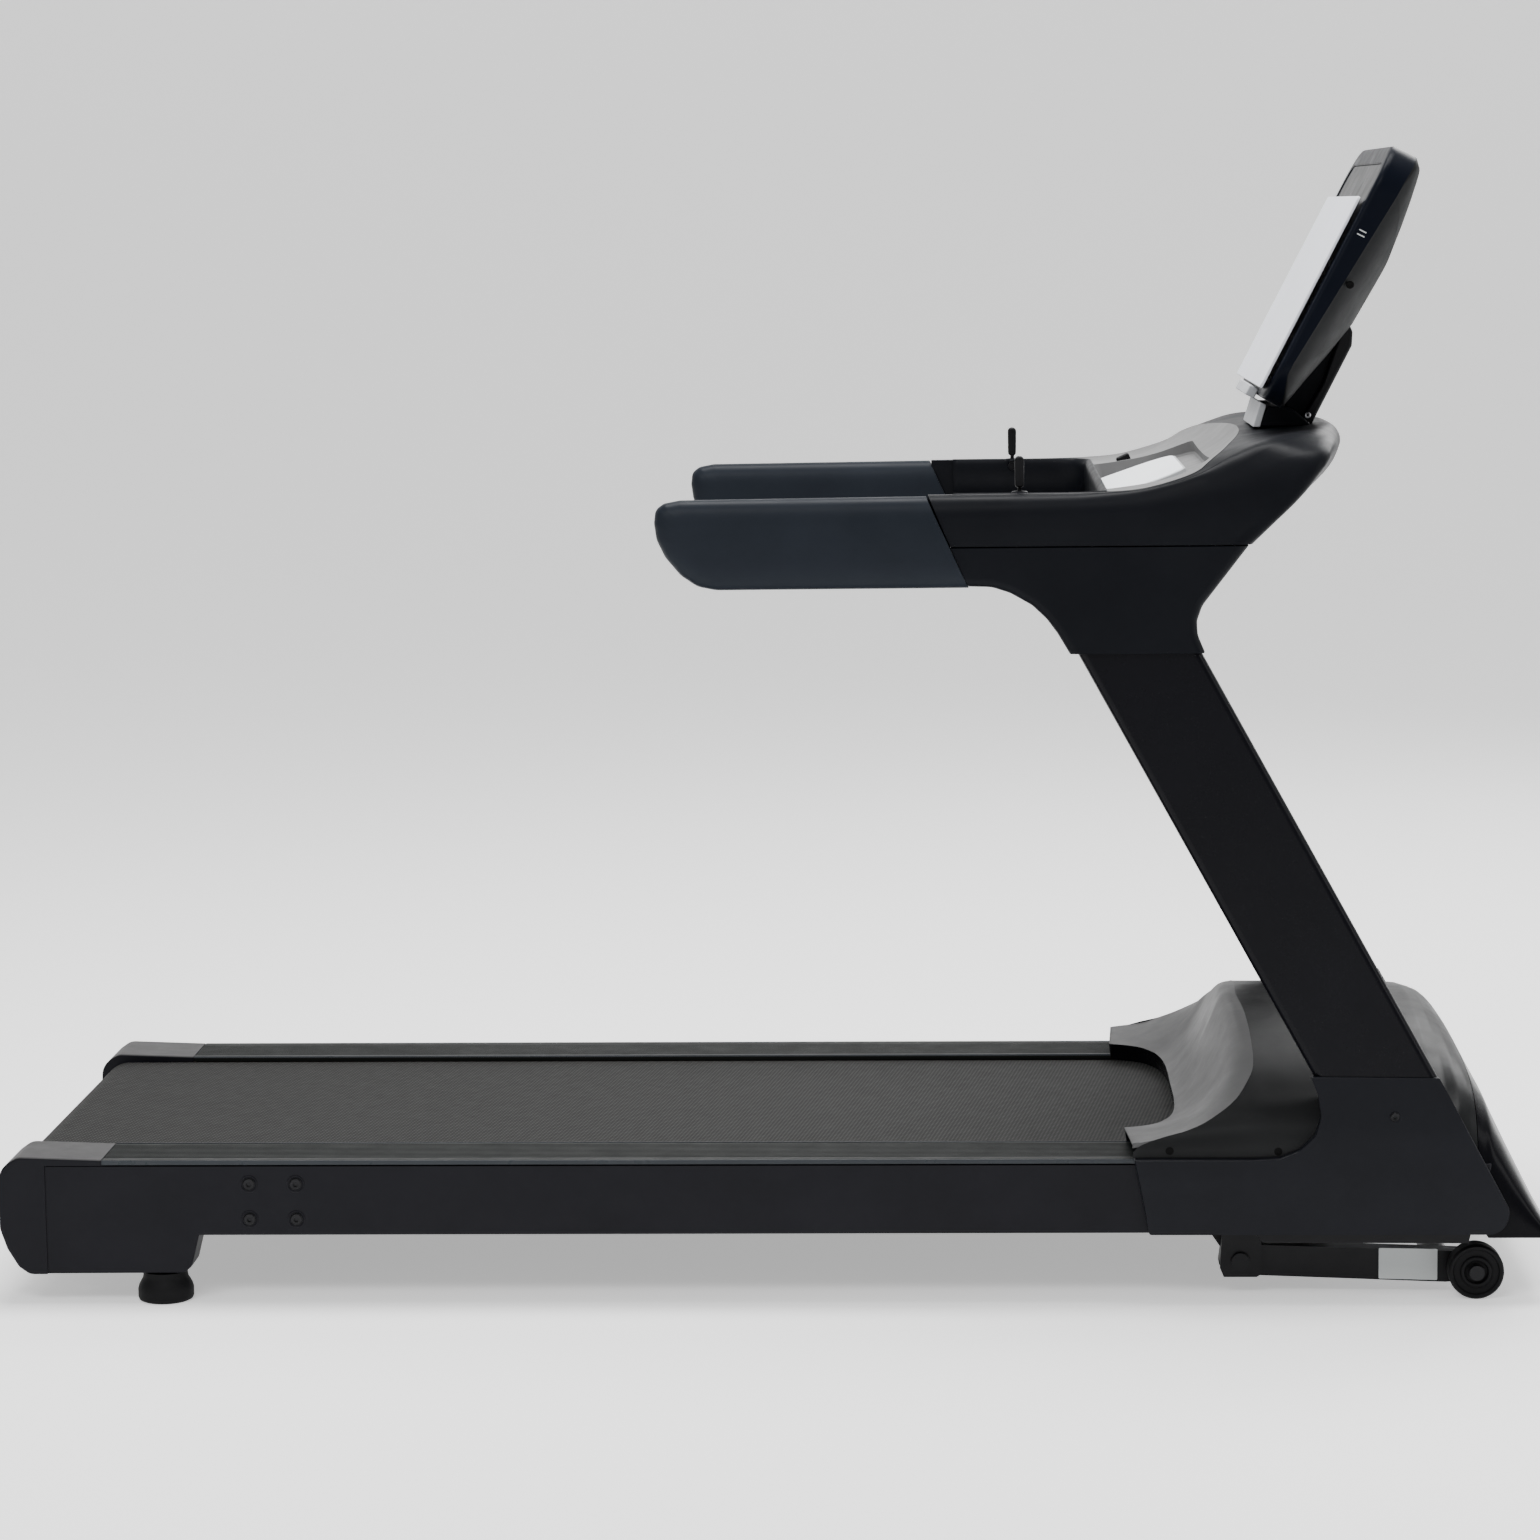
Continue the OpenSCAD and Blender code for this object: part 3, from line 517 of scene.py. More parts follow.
def make_rails():
    side = [(RAIL_REAR, 189, 0.5, 0), (RAIL_REAR, 41, 0.5, 0.4), (-786, 42, 10), (-776, 51, 8),
            (-766, 91, 1.5), (-765, 93.5, 2), (955, 96, 1), (955, 189, 1, 0.3)]
    both_sides("rail", plate(side, 342, RAIL_FACE, 2, 4), RAIL_BLACK, ["frame_rail"],
               slot="frame_black", sharp=45)


def make_foot_rails():
    """Ribbed treads on the rails, with a bead along both edges coloured lighter than the trim as painted
    highlight and painted sky reflection.
    """
    ribs = []
    for k in range(11):
        y = 304 + 7.6 * k
        ribs += [(y, 197.2, 0.3), (y + 2.0, 197.2, 0.3), (y + 2.7, 196.5, 0.3), (y + 6.9, 196.5, 0.3)]
    top = [(296, 189.5, 1), (296, 195.2, 2.5), (300, 197.0, 1)] + ribs
    top += [(391, 197.2, 0.3), (400.2, 197.0, 2.6), (401.8, 194.0, 2), (402, 190.4, 0.8), (397, 190.4, 0.4),
            (300, 189, 0.5)]
    both_sides("foot_rail", section_along_x(top, FOOT_RAIL_REAR, 520, 0.1, 3), TRIM, ["foot_rail"],
               slot="rail_trim", sharp=50)
    # The beads' shapes are real; their lighter colour is painted highlight and painted sky reflection.
    edge = [(399.6, 190.9, 0.3), (402.2, 190.9, 0.4), (402.3, 196.2, 1.2), (400.6, 197.5, 0.6)]
    inner = [(295.2, 195.2, 0.4), (297.2, 195.2, 0.4), (298.2, 197.8, 0.6), (296.2, 197.8, 0.8)]
    for name, section in (("foot_rail_edge", edge), ("foot_rail_inner_edge", inner)):
        both_sides(name, section_along_x(section, FOOT_RAIL_REAR, 500, 0.1), TRIM_EDGE_PAINTED_HIGHLIGHT,
                   slot="rail_trim", sharp=60)


def make_end_caps():
    """Moulded caps with their legs: black, and grey on top."""
    seat = RAIL_REAR + 0.2
    body = [(-894, 197.5, 1, 0), (-894, 189.4, 0.5, 0), (seat, 189.4, 0.5, 0), (seat, 41.2, 0.5, 0),
            (-996, 41, 12), (-1010, 51, 14), (-1025, 76, 14), (-1034, 103, 12), (-1034.5, 140, 20),
            (-1033, 184, 30), (-1008, 201.5, 20)]
    left = scratch("cap", *plate(body, 296, 400.6, 3, 3))
    inner = [(-1003, 30), (-740, 30), (-740, 96), (-985, 96, 10), (-1003, 80, 8)]
    mouth = [(-1012, 112), (-900, 112), (-900, 176), (-1000, 176, 30), (-1012, 160, 10)]
    cut(left, [scratch("hollow", *plate(inner, 280, 336, 1, 1, 1)),
               scratch("opening", *plate(mouth, 280, 312, 1, 1, 1))])
    for side, cap in (("left", left), ("right", mirror_copy(left))):
        cap.name = f"end_cap_{side}"
        finish_piece(cap, RAIL_BLACK, [f"end_cap_{side}"], 30)
        cap.data.materials.append(CAP_GREY)
        for polygon in cap.data.polygons:
            if polygon.normal.z > 0.6 and polygon.center.z > 0.185:
                polygon.material_index = 1


def make_belt():
    """The running belt: a closed band over both rollers, with softened edges."""
    width, edge = 290, 1.0
    rear, front, z, r, thick = -990, 700, 152, 38, 2.5
    path = [(x, z + r) for x in np.linspace(rear, front, 60)]
    path += [(front + r * math.sin(a), z + r * math.cos(a)) for a in np.linspace(0, math.pi, 25)[1:]]
    path += [(x, z - r) for x in np.linspace(front, rear, 60)[1:]]
    path += [(rear - r * math.sin(a), z - r * math.cos(a)) for a in np.linspace(0, math.pi, 25)[1:-1]]
    outer = np.array(path)
    inner, soft = inset(outer, thick), inset(outer, edge)
    rings = [[(p[0], y, p[1]) for p in ring]
             for ring, y in ((inner, -width), (soft, -width), (outer, -width + edge), (outer, width - edge),
                             (soft, width), (inner, width))]
    add_piece("running_belt_band", *loft(rings + rings[:1], caps=(False, False)), BELT,
              ["running_belt"], slot="belt", sharp=40, weld=0.01)


def hex_screw(centre, face_y, head_r, socket_r, proud, side):
    """Cap screw head facing sideways with a hexagonal socket."""
    profile = [(head_r, -1), (head_r, proud - 1.2), (head_r - 1.2, proud), (socket_r + 1.2, proud)]
    head = turned([(r, side * h) for r, h in profile], (centre[0], side * face_y, centre[1]), "y", 36)
    rings = []
    for depth, radius in ((proud, socket_r + 1.2), (proud - 0.3, socket_r), (proud - 2.4, socket_r)):
        ring = []
        for k in range(36):
            angle = 2 * math.pi * k / 36
            sector = (angle % (math.pi / 3)) - math.pi / 6
            reach = radius if depth == proud else radius * math.cos(math.pi / 6) / math.cos(sector)
            ring.append((centre[0] + reach * math.cos(angle), side * (face_y + depth),
                         centre[1] + reach * math.sin(angle)))
        rings.append(ring)
    return joined(head, loft(rings, caps=(False, True)))


def make_belly_skirts():
    """Black folded edges of the motor tray below the side covers."""
    fold = [(640, 98), (930, 98), (926, 80.5, 3), (655, 81.5, 3)]
    both_sides("belly_skirt", plate(fold, 376, 396, 1.5, 1.5, 3), BLACK_METAL, slot="frame_black")


def make_screws():
    places = [(side, x, z) for side in (-1, 1) for x in (-696, -633) for z in (116, 164)]
    heads = [hex_screw((x, z), RAIL_FACE, 8.2, 3.4, 2.6, side) for side, x, z in places]
    add_piece("rail_bolt_heads", *joined(*heads), BOLT, ["rail_bolts"], slot="bolt_black", weld=0.01)
    seat = [(9.2, -0.4), (11.4, -0.2), (12.2, 0.5), (11.0, 0.9), (9.4, 0.2)]
    seats = [turned([(r, side * h) for r, h in seat], (x, side * RAIL_FACE, z), "y", 40)
             for side, x, z in places]
    add_piece("rail_bolt_seats", *joined(*seats), RAIL_BLACK, slot="bolt_black")
    cover = [hex_screw((826, 255), 413.0, 6.2, 2.8, 1.6, side) for side in (-1, 1)]
    add_piece("side_cover_screws", *joined(*cover), BOLT, ["cover_screws"], slot="bolt_black", weld=0.01)


make_rails()
make_foot_rails()
make_end_caps()
make_belt()
make_belly_skirts()
make_screws()


# ---------------- hood
HOOD_HALF = 404.0
HOOD_CROWN = 0.00046
HOOD_SEAM = 936.5
CREST = 14


def crown_top(x):
    """Height of the hood's centre line above the floor, along the treadmill."""
    at = [440, 560, 616, 643, 850, 884, 900, 915, 928, 938, 952, 966, 986, 1021, 1031]
    height = [318, 334, 341, 344, 344, 341, 336, 326, 312, 297, 268, 236, 194, 123, 105]
    return float(np.interp(x, at, height))


def crown(x, y):
    """Height of the hood's skin: a crowned top with rounded shoulders down to the side walls."""
    side = min(1.0, abs(y) / HOOD_HALF)
    fade = min(1.0, max(0.0, (955 - x) / 55))
    base = float(np.interp(x, [900, 950], [198.5, 92]))
    top = max(crown_top(x) - HOOD_CROWN * fade * y * y, base + 4)
    return base + (top - base) * max(0.0, 1 - side ** 9) ** (1 / 3.2)


# The scoop's upper edge on the hood's skin, and its lower edge round the belt, from the left to the middle.
HOOD_EDGE = [(482, 404, 218), (529, 399, 225.5), (556, 396, 235), (580, 390, 245), (608, 375, 261),
             (624, 360, 273), (633, 344, 282.5), (645, 313, 296), (649, 284, 306), (650, 250, 315.5),
             (650, 180, 330), (648, 96, 340.5), (643, 0, 344.5)]
MOUTH_EDGE = [(476, 288), (500, 278), (520, 262), (532, 240), (542, 212), (549, 165), (552, 100), (552, 0)]
MOUTH_HEIGHT = 214.5


def hood_skin():
    """The closed skin that the hood's top and nose are both cut from."""
    xs = np.concatenate([np.linspace(455, 880, 54), np.linspace(884, 1031, 56)])
    angles = np.linspace(-math.pi / 2, math.pi / 2, 91)
    ys = HOOD_HALF * np.sign(np.sin(angles)) * np.abs(np.sin(angles)) ** 0.55
    ys[0], ys[-1] = -HOOD_HALF, HOOD_HALF
    rings = []
    for x in xs:
        base = float(np.interp(x, [900, 950], [198, 90]))
        ring = [(x, y, crown(x, y)) for y in ys]
        ring += [(x, y, base) for y in ys[::-1][1:-1]]
        rings.append(ring)
    return loft(rings)


def make_hood():
    skin = hood_skin()
    edge = spaced(over_middle(HOOD_EDGE), 97)
    outline = [(300, edge[0][1] + 30), (460, edge[0][1] + 30)] + [(p[0], p[1]) for p in edge]
    outline += [(460, edge[-1][1] - 30), (300, edge[-1][1] - 30)]
    scoop_cut = scratch("scoop_cut", *loft([[(x, y, z) for x, y in outline] for z in (150, 420)]))
    nose_side = [(HOOD_SEAM, 60), (1100, 60), (1100, 420), (HOOD_SEAM, 420)]
    top = cut(scratch("hood_top", *skin), [scoop_cut, scratch("nose_cut", *block(nose_side, -450, 450))])
    finish_piece(top, HOOD_DARK, ["hood_top"], 30)
    top_side = [(300, 60), (HOOD_SEAM + 1, 60), (HOOD_SEAM + 1, 420), (300, 420)]
    pocket = [(988.2, 98), (1060, 98), (1060, 142), (988.2, 142)]
    nose = cut(scratch("hood_nose_shell", *skin), [scratch("top_cut", *block(top_side, -450, 450)),
                                                   scratch("pocket", *block(pocket, 188, 302))])
    finish_piece(nose, NOSE_BLACK, ["hood_nose"], 30)
    make_scoop(edge)
    dimple = [(0.01, 0.3), (4.6, 0.3), (5.4, 0), (5.4, -1)]
    screws = [turned([(r, side * h) for r, h in dimple], (x, side * HOOD_HALF, z), "y", 24)
              for side in (-1, 1) for x, z in ((531, 208), (674, 207))]
    add_piece("hood_screws", *joined(*screws), SCREW_DARK, slot="bolt_black")


def scoop_share(v, middle):
    """Share of the climb from mouth to hood: steady at the sides, steep and then level in the middle."""
    climb = (v / (1 - 0.24 * middle)) ** (1.0 + 0.5 * middle)
    share = -math.log(math.exp(-CREST * climb) + math.exp(-CREST)) / CREST
    share += math.log(1 + math.exp(-CREST)) / CREST
    return share * middle + v * (1 - middle)


def make_scoop(edge):
    mouth = spaced(over_middle(MOUTH_EDGE), len(edge))
    rings = []
    for v in np.linspace(0, 1, 22):
        ring = []
        for (xm, ym), (xb, yb, zb) in zip(mouth, edge):
            share = scoop_share(v, min(1.0, max(0.0, (xb - 540) / 100)))
            ring.append((xm + (xb - xm) * v, ym + (yb - ym) * v,
                         MOUTH_HEIGHT + (zb - 0.4 - MOUTH_HEIGHT) * share))
        rings.append(ring)
    rim = [(x, y, z - 6) for x, y, z in rings[-1]]
    foot = [(x + 3, y + math.copysign(2, y) * (x < 545), 191) for x, y in mouth]
    under = [(x + 12, y + math.copysign(8, y) * (x < 545), 189) for x, y in mouth]
    skin = loft([under, foot] + rings + [rim], closed=False, caps=(False, False))
    scoop = add_piece("hood_scoop_shell", *skin, HOOD_GREY, ["hood_scoop"], slot="hood_grey", sharp=38)
    add_wall(scoop, 3, -1)
    scoop.data.materials.append(NOSE_BLACK)
    for polygon in scoop.data.polygons:
        if polygon.center.z < MOUTH_HEIGHT * MM:
            polygon.material_index = 1


def make_side_covers():
    outline = [(484, 198, 2), (504, 96, 4), (966, 96, 26), (981, 124, 24), (893, 290, 8), (884, 306, 3, 0.3),
               (716, 308, 3), (726, 282, 20), (730, 254, 20), (722, 230, 20), (701, 210, 20), (676, 200, 20),
               (640, 198, 20)]
    slab = []
    for z in np.linspace(85, 315, 24):
        face = float(np.interp(z, [95, 130, 170, 230, 308], [411.5, 414.3, 415, 413.5, 408]))
        slab.append([(440, 398, z), (440, face, z), (1000, face, z), (1000, 398, z)])
    cover = cut(scratch("side_cover", *plate(outline, 397, 415.5, 1, 5, 6)),
                [scratch("crowned_slab", *loft(slab))], "INTERSECT")
    for side, obj in (("left", cover), ("right", mirror_copy(cover))):
        obj.name = f"side_cover_shell_{side}"
        finish_piece(obj, BLACK_SATIN, [f"side_cover_{side}"], 24)


make_hood()
make_side_covers()


# ---------------- uprights, cowls, handrails
def make_uprights():
    """Oval-cornered beams that lean back as they rise."""
    rings = []
    for z in (190, 400, 600, 800, 1000):
        rear = 786.5 - (z - 187.5) * 0.5505
        front = rear + 161.5
        section = rounded([(rear, 358, 9), (rear, 406, 12), (front, 406, 12), (front, 358, 9)], 8)
        rings.append([(p[0], p[1], z) for p in section])
    both_sides("upright_beam", loft(rings), UPRIGHT_BLACK, ["upright"], slot="upright_black", sharp=50)


# The handrail's rounded end, from its underside over the tip to its top.
HANDRAIL_END = [(-60, 955, 60), (-84, 960, 30), (-106, 975, 30), (-126, 999, 30), (-137, 1022, 30),
                (-140, 1044, 16), (-138, 1061, 14), (-127, 1069, 12), (-106, 1073, 12)]
HANDRAIL_CORE = (-84, 1018)


def make_handrails():
    """Padded grips: the outline shrinks towards its core line on the way to both faces."""
    outline = rounded(HANDRAIL_END + [(210, 1075.5), (330, 1077), (330, 956), (200, 955.5)], 8)
    middle, half = 394.0, 24.0
    rings = []
    for i in range(21):
        angle = math.pi * (i / 20 - 0.5)
        across = math.copysign(abs(math.sin(angle)) ** 0.75, math.sin(angle))
        drawn = 1 - abs(math.cos(angle)) ** 0.52
        ring = []
        for p in outline:
            q = p + (np.array((max(p[0], HANDRAIL_CORE[0]), HANDRAIL_CORE[1])) - p) * drawn
            ring.append((q[0], middle + half * across, q[1]))
        rings.append(ring)
    verts, faces = loft(rings)
    beyond_seam = [(208.2, 1090.0), (500, 1090), (500, 930), (281.5, 930)]
    for side, sign in SIDES:
        rail = scratch("handrail", [(x, sign * y, z) for x, y, z in verts], faces)
        cut(rail, [scratch("trimmer", *block(beyond_seam, -450, 450))])
        rail.name = f"handrail_grip_{side}"
        finish_piece(rail, GRIP, [f"handrail_{side}"], 40)


def make_cowls():
    lower = [(246.1, 1009, 0.5, 0.0), (269.4, 958, 1), (300, 957, 40), (324, 949, 30), (352, 933, 30),
             (371, 915, 30), (385, 896, 30), (401, 869, 1.5, 0.1), (577, 869, 1.5), (567, 893, 30),
             (566, 911, 20), (573, 931, 30), (633, 1009, 0.5, 0.05)]
    both_sides("cowl_lower_shell", plate(lower, 352, 413.5, 6, 12, 7), COWL_BLACK, ["cowl_lower"],
               slot="cowl_black", sharp=40)


SHELL_FOOT = 1010.5

# Sections of the shell that runs from one handrail round the dashboard to the other: inner rim,
# outer rim, mid side, low side and bottom edge, from the left handrail to the middle.
SHELL = [
    [(217.5, 376, 1076.5), (218, 403, 1076.3), (226, 414, 1058), (236, 414, 1034), (246.5, 412, SHELL_FOOT)],
    [(330, 376, 1077), (330, 403, 1076.8), (330, 414, 1060), (330, 414, 1034), (330, 412, SHELL_FOOT)],
    [(400, 376, 1077.5), (400, 404, 1077.3), (403, 414, 1061), (402, 414, 1035), (400, 412, SHELL_FOOT)],
    [(440, 387, 1078.5), (441, 404, 1078.5), (445, 414, 1062), (443, 414, 1036), (440, 412.5, SHELL_FOOT)],
    [(490, 395, 1082), (492, 405, 1082), (500, 414, 1064), (496, 414.5, 1037), (490, 413, SHELL_FOOT)],
    [(532, 396, 1092), (540, 405, 1091), (552, 413, 1070), (545, 414.5, 1040), (535, 413, SHELL_FOOT)],
    [(566, 388, 1104), (580, 402, 1106), (608, 412, 1080), (600, 414, 1045), (575, 413, SHELL_FOOT)],
    [(585, 365, 1117), (622, 390, 1127), (672, 404, 1098), (655, 411, 1052), (606, 412, SHELL_FOOT)],
    [(604, 318, 1127.5), (662, 366, 1144), (738, 384, 1122), (697, 402, 1068), (634, 409, SHELL_FOOT)],
    [(616, 258, 1132.5), (706, 300, 1150), (758, 322, 1136), (722, 352, 1090), (640, 372, SHELL_FOOT)],
    [(630, 180, 1137.5), (742, 205, 1151), (767, 220, 1133), (752, 238, 1100), (655, 262, SHELL_FOOT)],
    [(640, 90, 1141), (766, 98, 1151), (779, 104, 1130), (768, 110, 1104), (676, 120, SHELL_FOOT)],
    [(643, 0, 1142.5), (770, 0, 1151), (788, 0, 1126), (781, 0, 1105), (688, 0, SHELL_FOOT)],
]


def shell_sections():
    """The shell's sections made dense along its run, over the middle to the right side."""
    return np.stack([over_middle([section[k] for section in SHELL]) for k in range(5)], axis=1)


def soft_corner(before, corner, after, reach, steps=5):
    """A quadratic curve that cuts a corner in space."""
    to_before, to_after = before - corner, after - corner
    start = corner + to_before * min(0.45, reach / (np.linalg.norm(to_before) + 1e-9))
    end = corner + to_after * min(0.45, reach / (np.linalg.norm(to_after) + 1e-9))
    return [(1 - t) ** 2 * start + 2 * t * (1 - t) * corner + t * t * end for t in np.linspace(0, 1, steps)]


def make_upper_shell():
    """One closed shell: skin outside, and back along the inside under the dashboard."""
    rings = []
    for rim, top, middle, low, foot in shell_sections():
        curve = [rim + (top - rim) * t for t in (0, 0.35, 0.7)]
        curve += soft_corner(rim, top, middle, 14, 7)
        curve += soft_corner(top, middle, low, 30, 9)
        curve += soft_corner(middle, low, foot, 25)
        curve.append(foot)
        inner_foot = np.array([rim[0], rim[1], SHELL_FOOT])
        curve.append(foot + (inner_foot - foot) * 0.9)
        curve.append(np.array([rim[0], rim[1], rim[2] - 12]))
        rings.append([tuple(q) for q in curve])
    add_piece("upper_shell", *loft(rings), COWL_BLACK,
              ["crossbar_cover", "cowl_upper_left", "cowl_upper_right"], slot="cowl_black", sharp=42)


make_uprights()
make_handrails()
make_cowls()
make_upper_shell()


# ---------------- dashboard
KEY_RISE = math.atan2(74, 156)
TRAY_RISE = math.radians(19)
LIP_X, LIP_Z = 446, 1074
LIP_POINTS = 141


def u_wall(inner, corner, start):
    """Plan of the dashboard's front wall: along the left arm, round the corner and across."""
    half = [(start, inner), (LIP_X - corner, inner)]
    half += [(LIP_X - corner + corner * math.sin(a), inner - corner + corner * math.cos(a))
             for a in np.linspace(0, math.pi / 2, 12)[1:]]
    half += [(LIP_X, 150), (LIP_X, 0)]
    return half + [(x, -y) for x, y in half[::-1]][1:]


def dash_skin():
    """The dashboard without its tray, from the front lip up to the shell's rim, as (verts, faces)."""
    edge = spaced([p for p in shell_sections()[:, 0] if p[0] >= 400], LIP_POINTS)
    lip = spaced(u_wall(373, 40, 398), LIP_POINTS)
    rings = []
    for v in np.linspace(0, 1, 16):
        rise = 0.35 * v + 0.65 * v ** 4
        rings.append([(xl + (xe - xl) * v, yl + (ye - yl) * v, LIP_Z + (ze + 0.6 - LIP_Z) * rise)
                      for (xl, yl), (xe, ye, ze) in zip(lip, edge)])
    low, far = [[(x, y, 1040) for x, y, z in ring] for ring in (rings[0], rings[-1])]
    rings = [low] + rings + [far, low]
    verts, faces = loft(rings, closed=False, caps=(False, False))
    starts = [r * LIP_POINTS for r in range(len(rings) - 1)]
    return verts, faces + [tuple(starts), tuple(s + LIP_POINTS - 1 for s in starts[::-1])]


def make_dashboard():
    shell = scratch("dashboard_shell", *dash_skin(), weld=0.01)
    tray = dash_rings([(-31, 7), (-28, 4.2), (0, 0), (80, -14)], 4, 150, 540, 75)
    cut(shell, [scratch("tray", *loft(tray))])
    finish_piece(shell, DASH_GREY, ["dashboard"], 30)
    # The grey rim round the white face is painted shade on the keypad plate's edge.
    add_piece("keypad_rim", *dash_plate(-31, -19.2, 4, 115, 372, 56), PAD_RIM_PAINTED_SHADE, slot="pad_white")
    add_piece("keypad_face", *dash_plate(-22, -17.8, 7, 109, 366, 53), PAD_WHITE, ["keypad_plate"],
              slot="pad_white")


def make_dash_wall():
    """The wall under the front lip, which rolls over at its top."""
    wall = spaced(u_wall(375, 42, 250), LIP_POINTS)
    rings = [[(x, y, 1012) for x, y in wall], [(x - 0.5, y, 1064) for x, y in wall]]
    for angle in np.linspace(0, math.pi / 2, 6):
        fall = 1 - math.cos(angle)
        rings.append([(x - 0.5 + 7 * fall * (x > 420), y + math.copysign(2.5, y) * fall * (x < 430),
                       1066 + 9.5 * math.sin(angle)) for x, y in wall])
    front = add_piece("dash_front_wall", *loft(rings, closed=False, caps=(False, False)), COWL_BLACK,
                      slot="cowl_black", sharp=50)
    add_wall(front, 3, 1)


def make_dash_underside():
    wall = u_wall(374, 42, 250)
    arm = [(250, 411), (500, 409), (595, 403), (628, 372), (645, 262), (668, 120), (680, 0)]
    half = wall[:wall.index((LIP_X, 0)) + 1][::-1] + arm
    whole = half + [(x, -y) for x, y in half[::-1]][1:-1]
    add_piece("dash_underside", *loft([[(x, y, z) for x, y in whole] for z in (1010.6, 1013.5)]),
              BLACK_SATIN, slot="cowl_black")


def on_dash(points, rise=TRAY_RISE):
    """Turns (up the slope, across, above) into places on the dashboard."""
    c, s = math.cos(rise), math.sin(rise)
    return [(LIP_X + u * c - w * s, v, LIP_Z + u * s + w * c) for u, v, w in points]


def dash_rings(levels, start, length, width, radius):
    """Outlines on the slope at several heights, each drawn in by its own distance."""
    near = min(radius, 12)
    corners = [(start, -width / 2, near), (start + length, -width / 2, radius),
               (start + length, width / 2, radius), (start, width / 2, near)]
    return [on_dash([(p[0], p[1], height) for p in rounded(corners, 10, drawn)]) for height, drawn in levels]


def dash_plate(low, high, *outline):
    """A plate that lies along the slope, soft at its upper edge."""
    return loft(dash_rings([(low, 0), (high - 1.2, 0), (high - 0.4, 0.4), (high, 1.4)], *outline))


make_dashboard()
make_dash_wall()
make_dash_underside()


# ---------------- console
TILT = math.radians(27.3)
FACE_HALF, FACE_LOW, FACE_HIGH = 245, -15, 360

# How deep the glossy front frame and the domed back reach, at heights up the face.
BEZEL_AT = [-15, -10, 28, 69, 119, 166, 214, 243, 281, 319, 345, 360]
BEZEL_DEPTH = [30, 29, 15, 15, 19, 25, 27, 30, 34, 35, 38, 38]
SPINE_AT = [-15, 4, 23, 73, 129, 161, 195, 226, 273, 310, 349, 360]
SPINE_DEPTH = [40, 47, 53, 66, 78, 81, 82, 81, 75, 69, 61, 46]


def on_console(points):
    """Turns (into the console, across, up the face) into places in the frame."""
    c, s = math.cos(TILT), math.sin(TILT)
    return [(668 + u * c + w * s, v, 1204 - u * s + w * c) for u, v, w in points]


def console_outline(drawn):
    corners = [(-FACE_HALF, FACE_LOW, 60), (FACE_HALF, FACE_LOW, 60), (FACE_HALF, FACE_HIGH, 60),
               (-FACE_HALF, FACE_HIGH, 60)]
    return inset(rounded(corners, 12), drawn)


def console_rings(levels):
    """The face's outline at several depths, each drawn in by its own distance."""
    return [on_console([(depth, p[0], p[1]) for p in console_outline(drawn)]) for depth, drawn in levels]


def bezel_back(w):
    return float(np.interp(w, BEZEL_AT, BEZEL_DEPTH))


def bezel_back_ring(lift, drawn):
    """The outline on the back of the bezel, lifted off it by a distance."""
    return on_console([(bezel_back(p[1]) - lift, p[0], p[1]) for p in console_outline(drawn)])


def make_console():
    rings = [bezel_back_ring(0, 3), bezel_back_ring(0, 0.4), bezel_back_ring(0.6, 0)]
    rings += console_rings([(9, 0), (5.5, 0.4), (3, 1.6), (1.2, 3.8), (0.2, 7.5), (0, 12), (0, 26),
                            (1.2, 27.2), (3, 27.6), (10, 27.8)])
    add_piece("console_bezel_ring", *loft(rings, caps=(False, True)), BEZEL, ["console_bezel"],
              slot="bezel", sharp=40)
    add_piece("display_screen", *loft(console_rings([(9, 28.2), (2.2, 28.2), (1.6, 29)])), GLASS,
              ["display_glass"], slot="screen", sharp=40)


def make_back_shell():
    """The domed back, drawn in ring by ring from the bezel to its middle."""
    centre = np.array((0.0, 168.0))
    outline = console_outline(0.0)
    rings = [bezel_back_ring(1, 0.9)]
    for share in 1 - np.linspace(0, 1, 30) ** 1.9 * 0.97:
        edge_round = max(0.0, 1 - share ** 22) ** 0.5
        ring = []
        for p in outline:
            q = centre + (p - centre) * share
            start = bezel_back(q[1])
            crest = float(np.interp(q[1], SPINE_AT, SPINE_DEPTH))
            across = max(0.0, 1 - (abs(q[0]) / FACE_HALF) ** 2.5) ** 0.7
            ring.append((start + (crest - start) * across * edge_round, q[0], q[1]))
        rings.append(on_console(ring))
    add_piece("console_back_shell", *loft(rings, caps=(False, True)), BACK_SHELL, ["console_back"],
              slot="back_shell", sharp=50)


def box_plate(u_low, u_high, half_width, w_low, w_high, radius, soft):
    """A plate that lies along the console's face."""
    corners = [(-half_width, w_low, radius), (half_width, w_low, radius), (half_width, w_high, radius),
               (-half_width, w_high, radius)]
    rings = []
    for u, drawn in ((u_low, soft), (u_low + soft, 0), (u_high - soft, 0), (u_high, soft)):
        rings.append(on_console([(u, p[0], p[1]) for p in rounded(corners, 6, drawn)]))
    return loft(rings)


def make_tablet_rest():
    add_piece("tablet_plate_board", *box_plate(-10, -6, 230, -3, 279, 5, 0.8), PLATE_GREY,
              ["tablet_plate"], slot="plate")
    add_piece("tablet_ledge_tray", *box_plate(-12, 1.5, 100, -21, -6, 3, 1.2), LIGHT_GREY,
              ["tablet_ledge"], slot="light_grey")


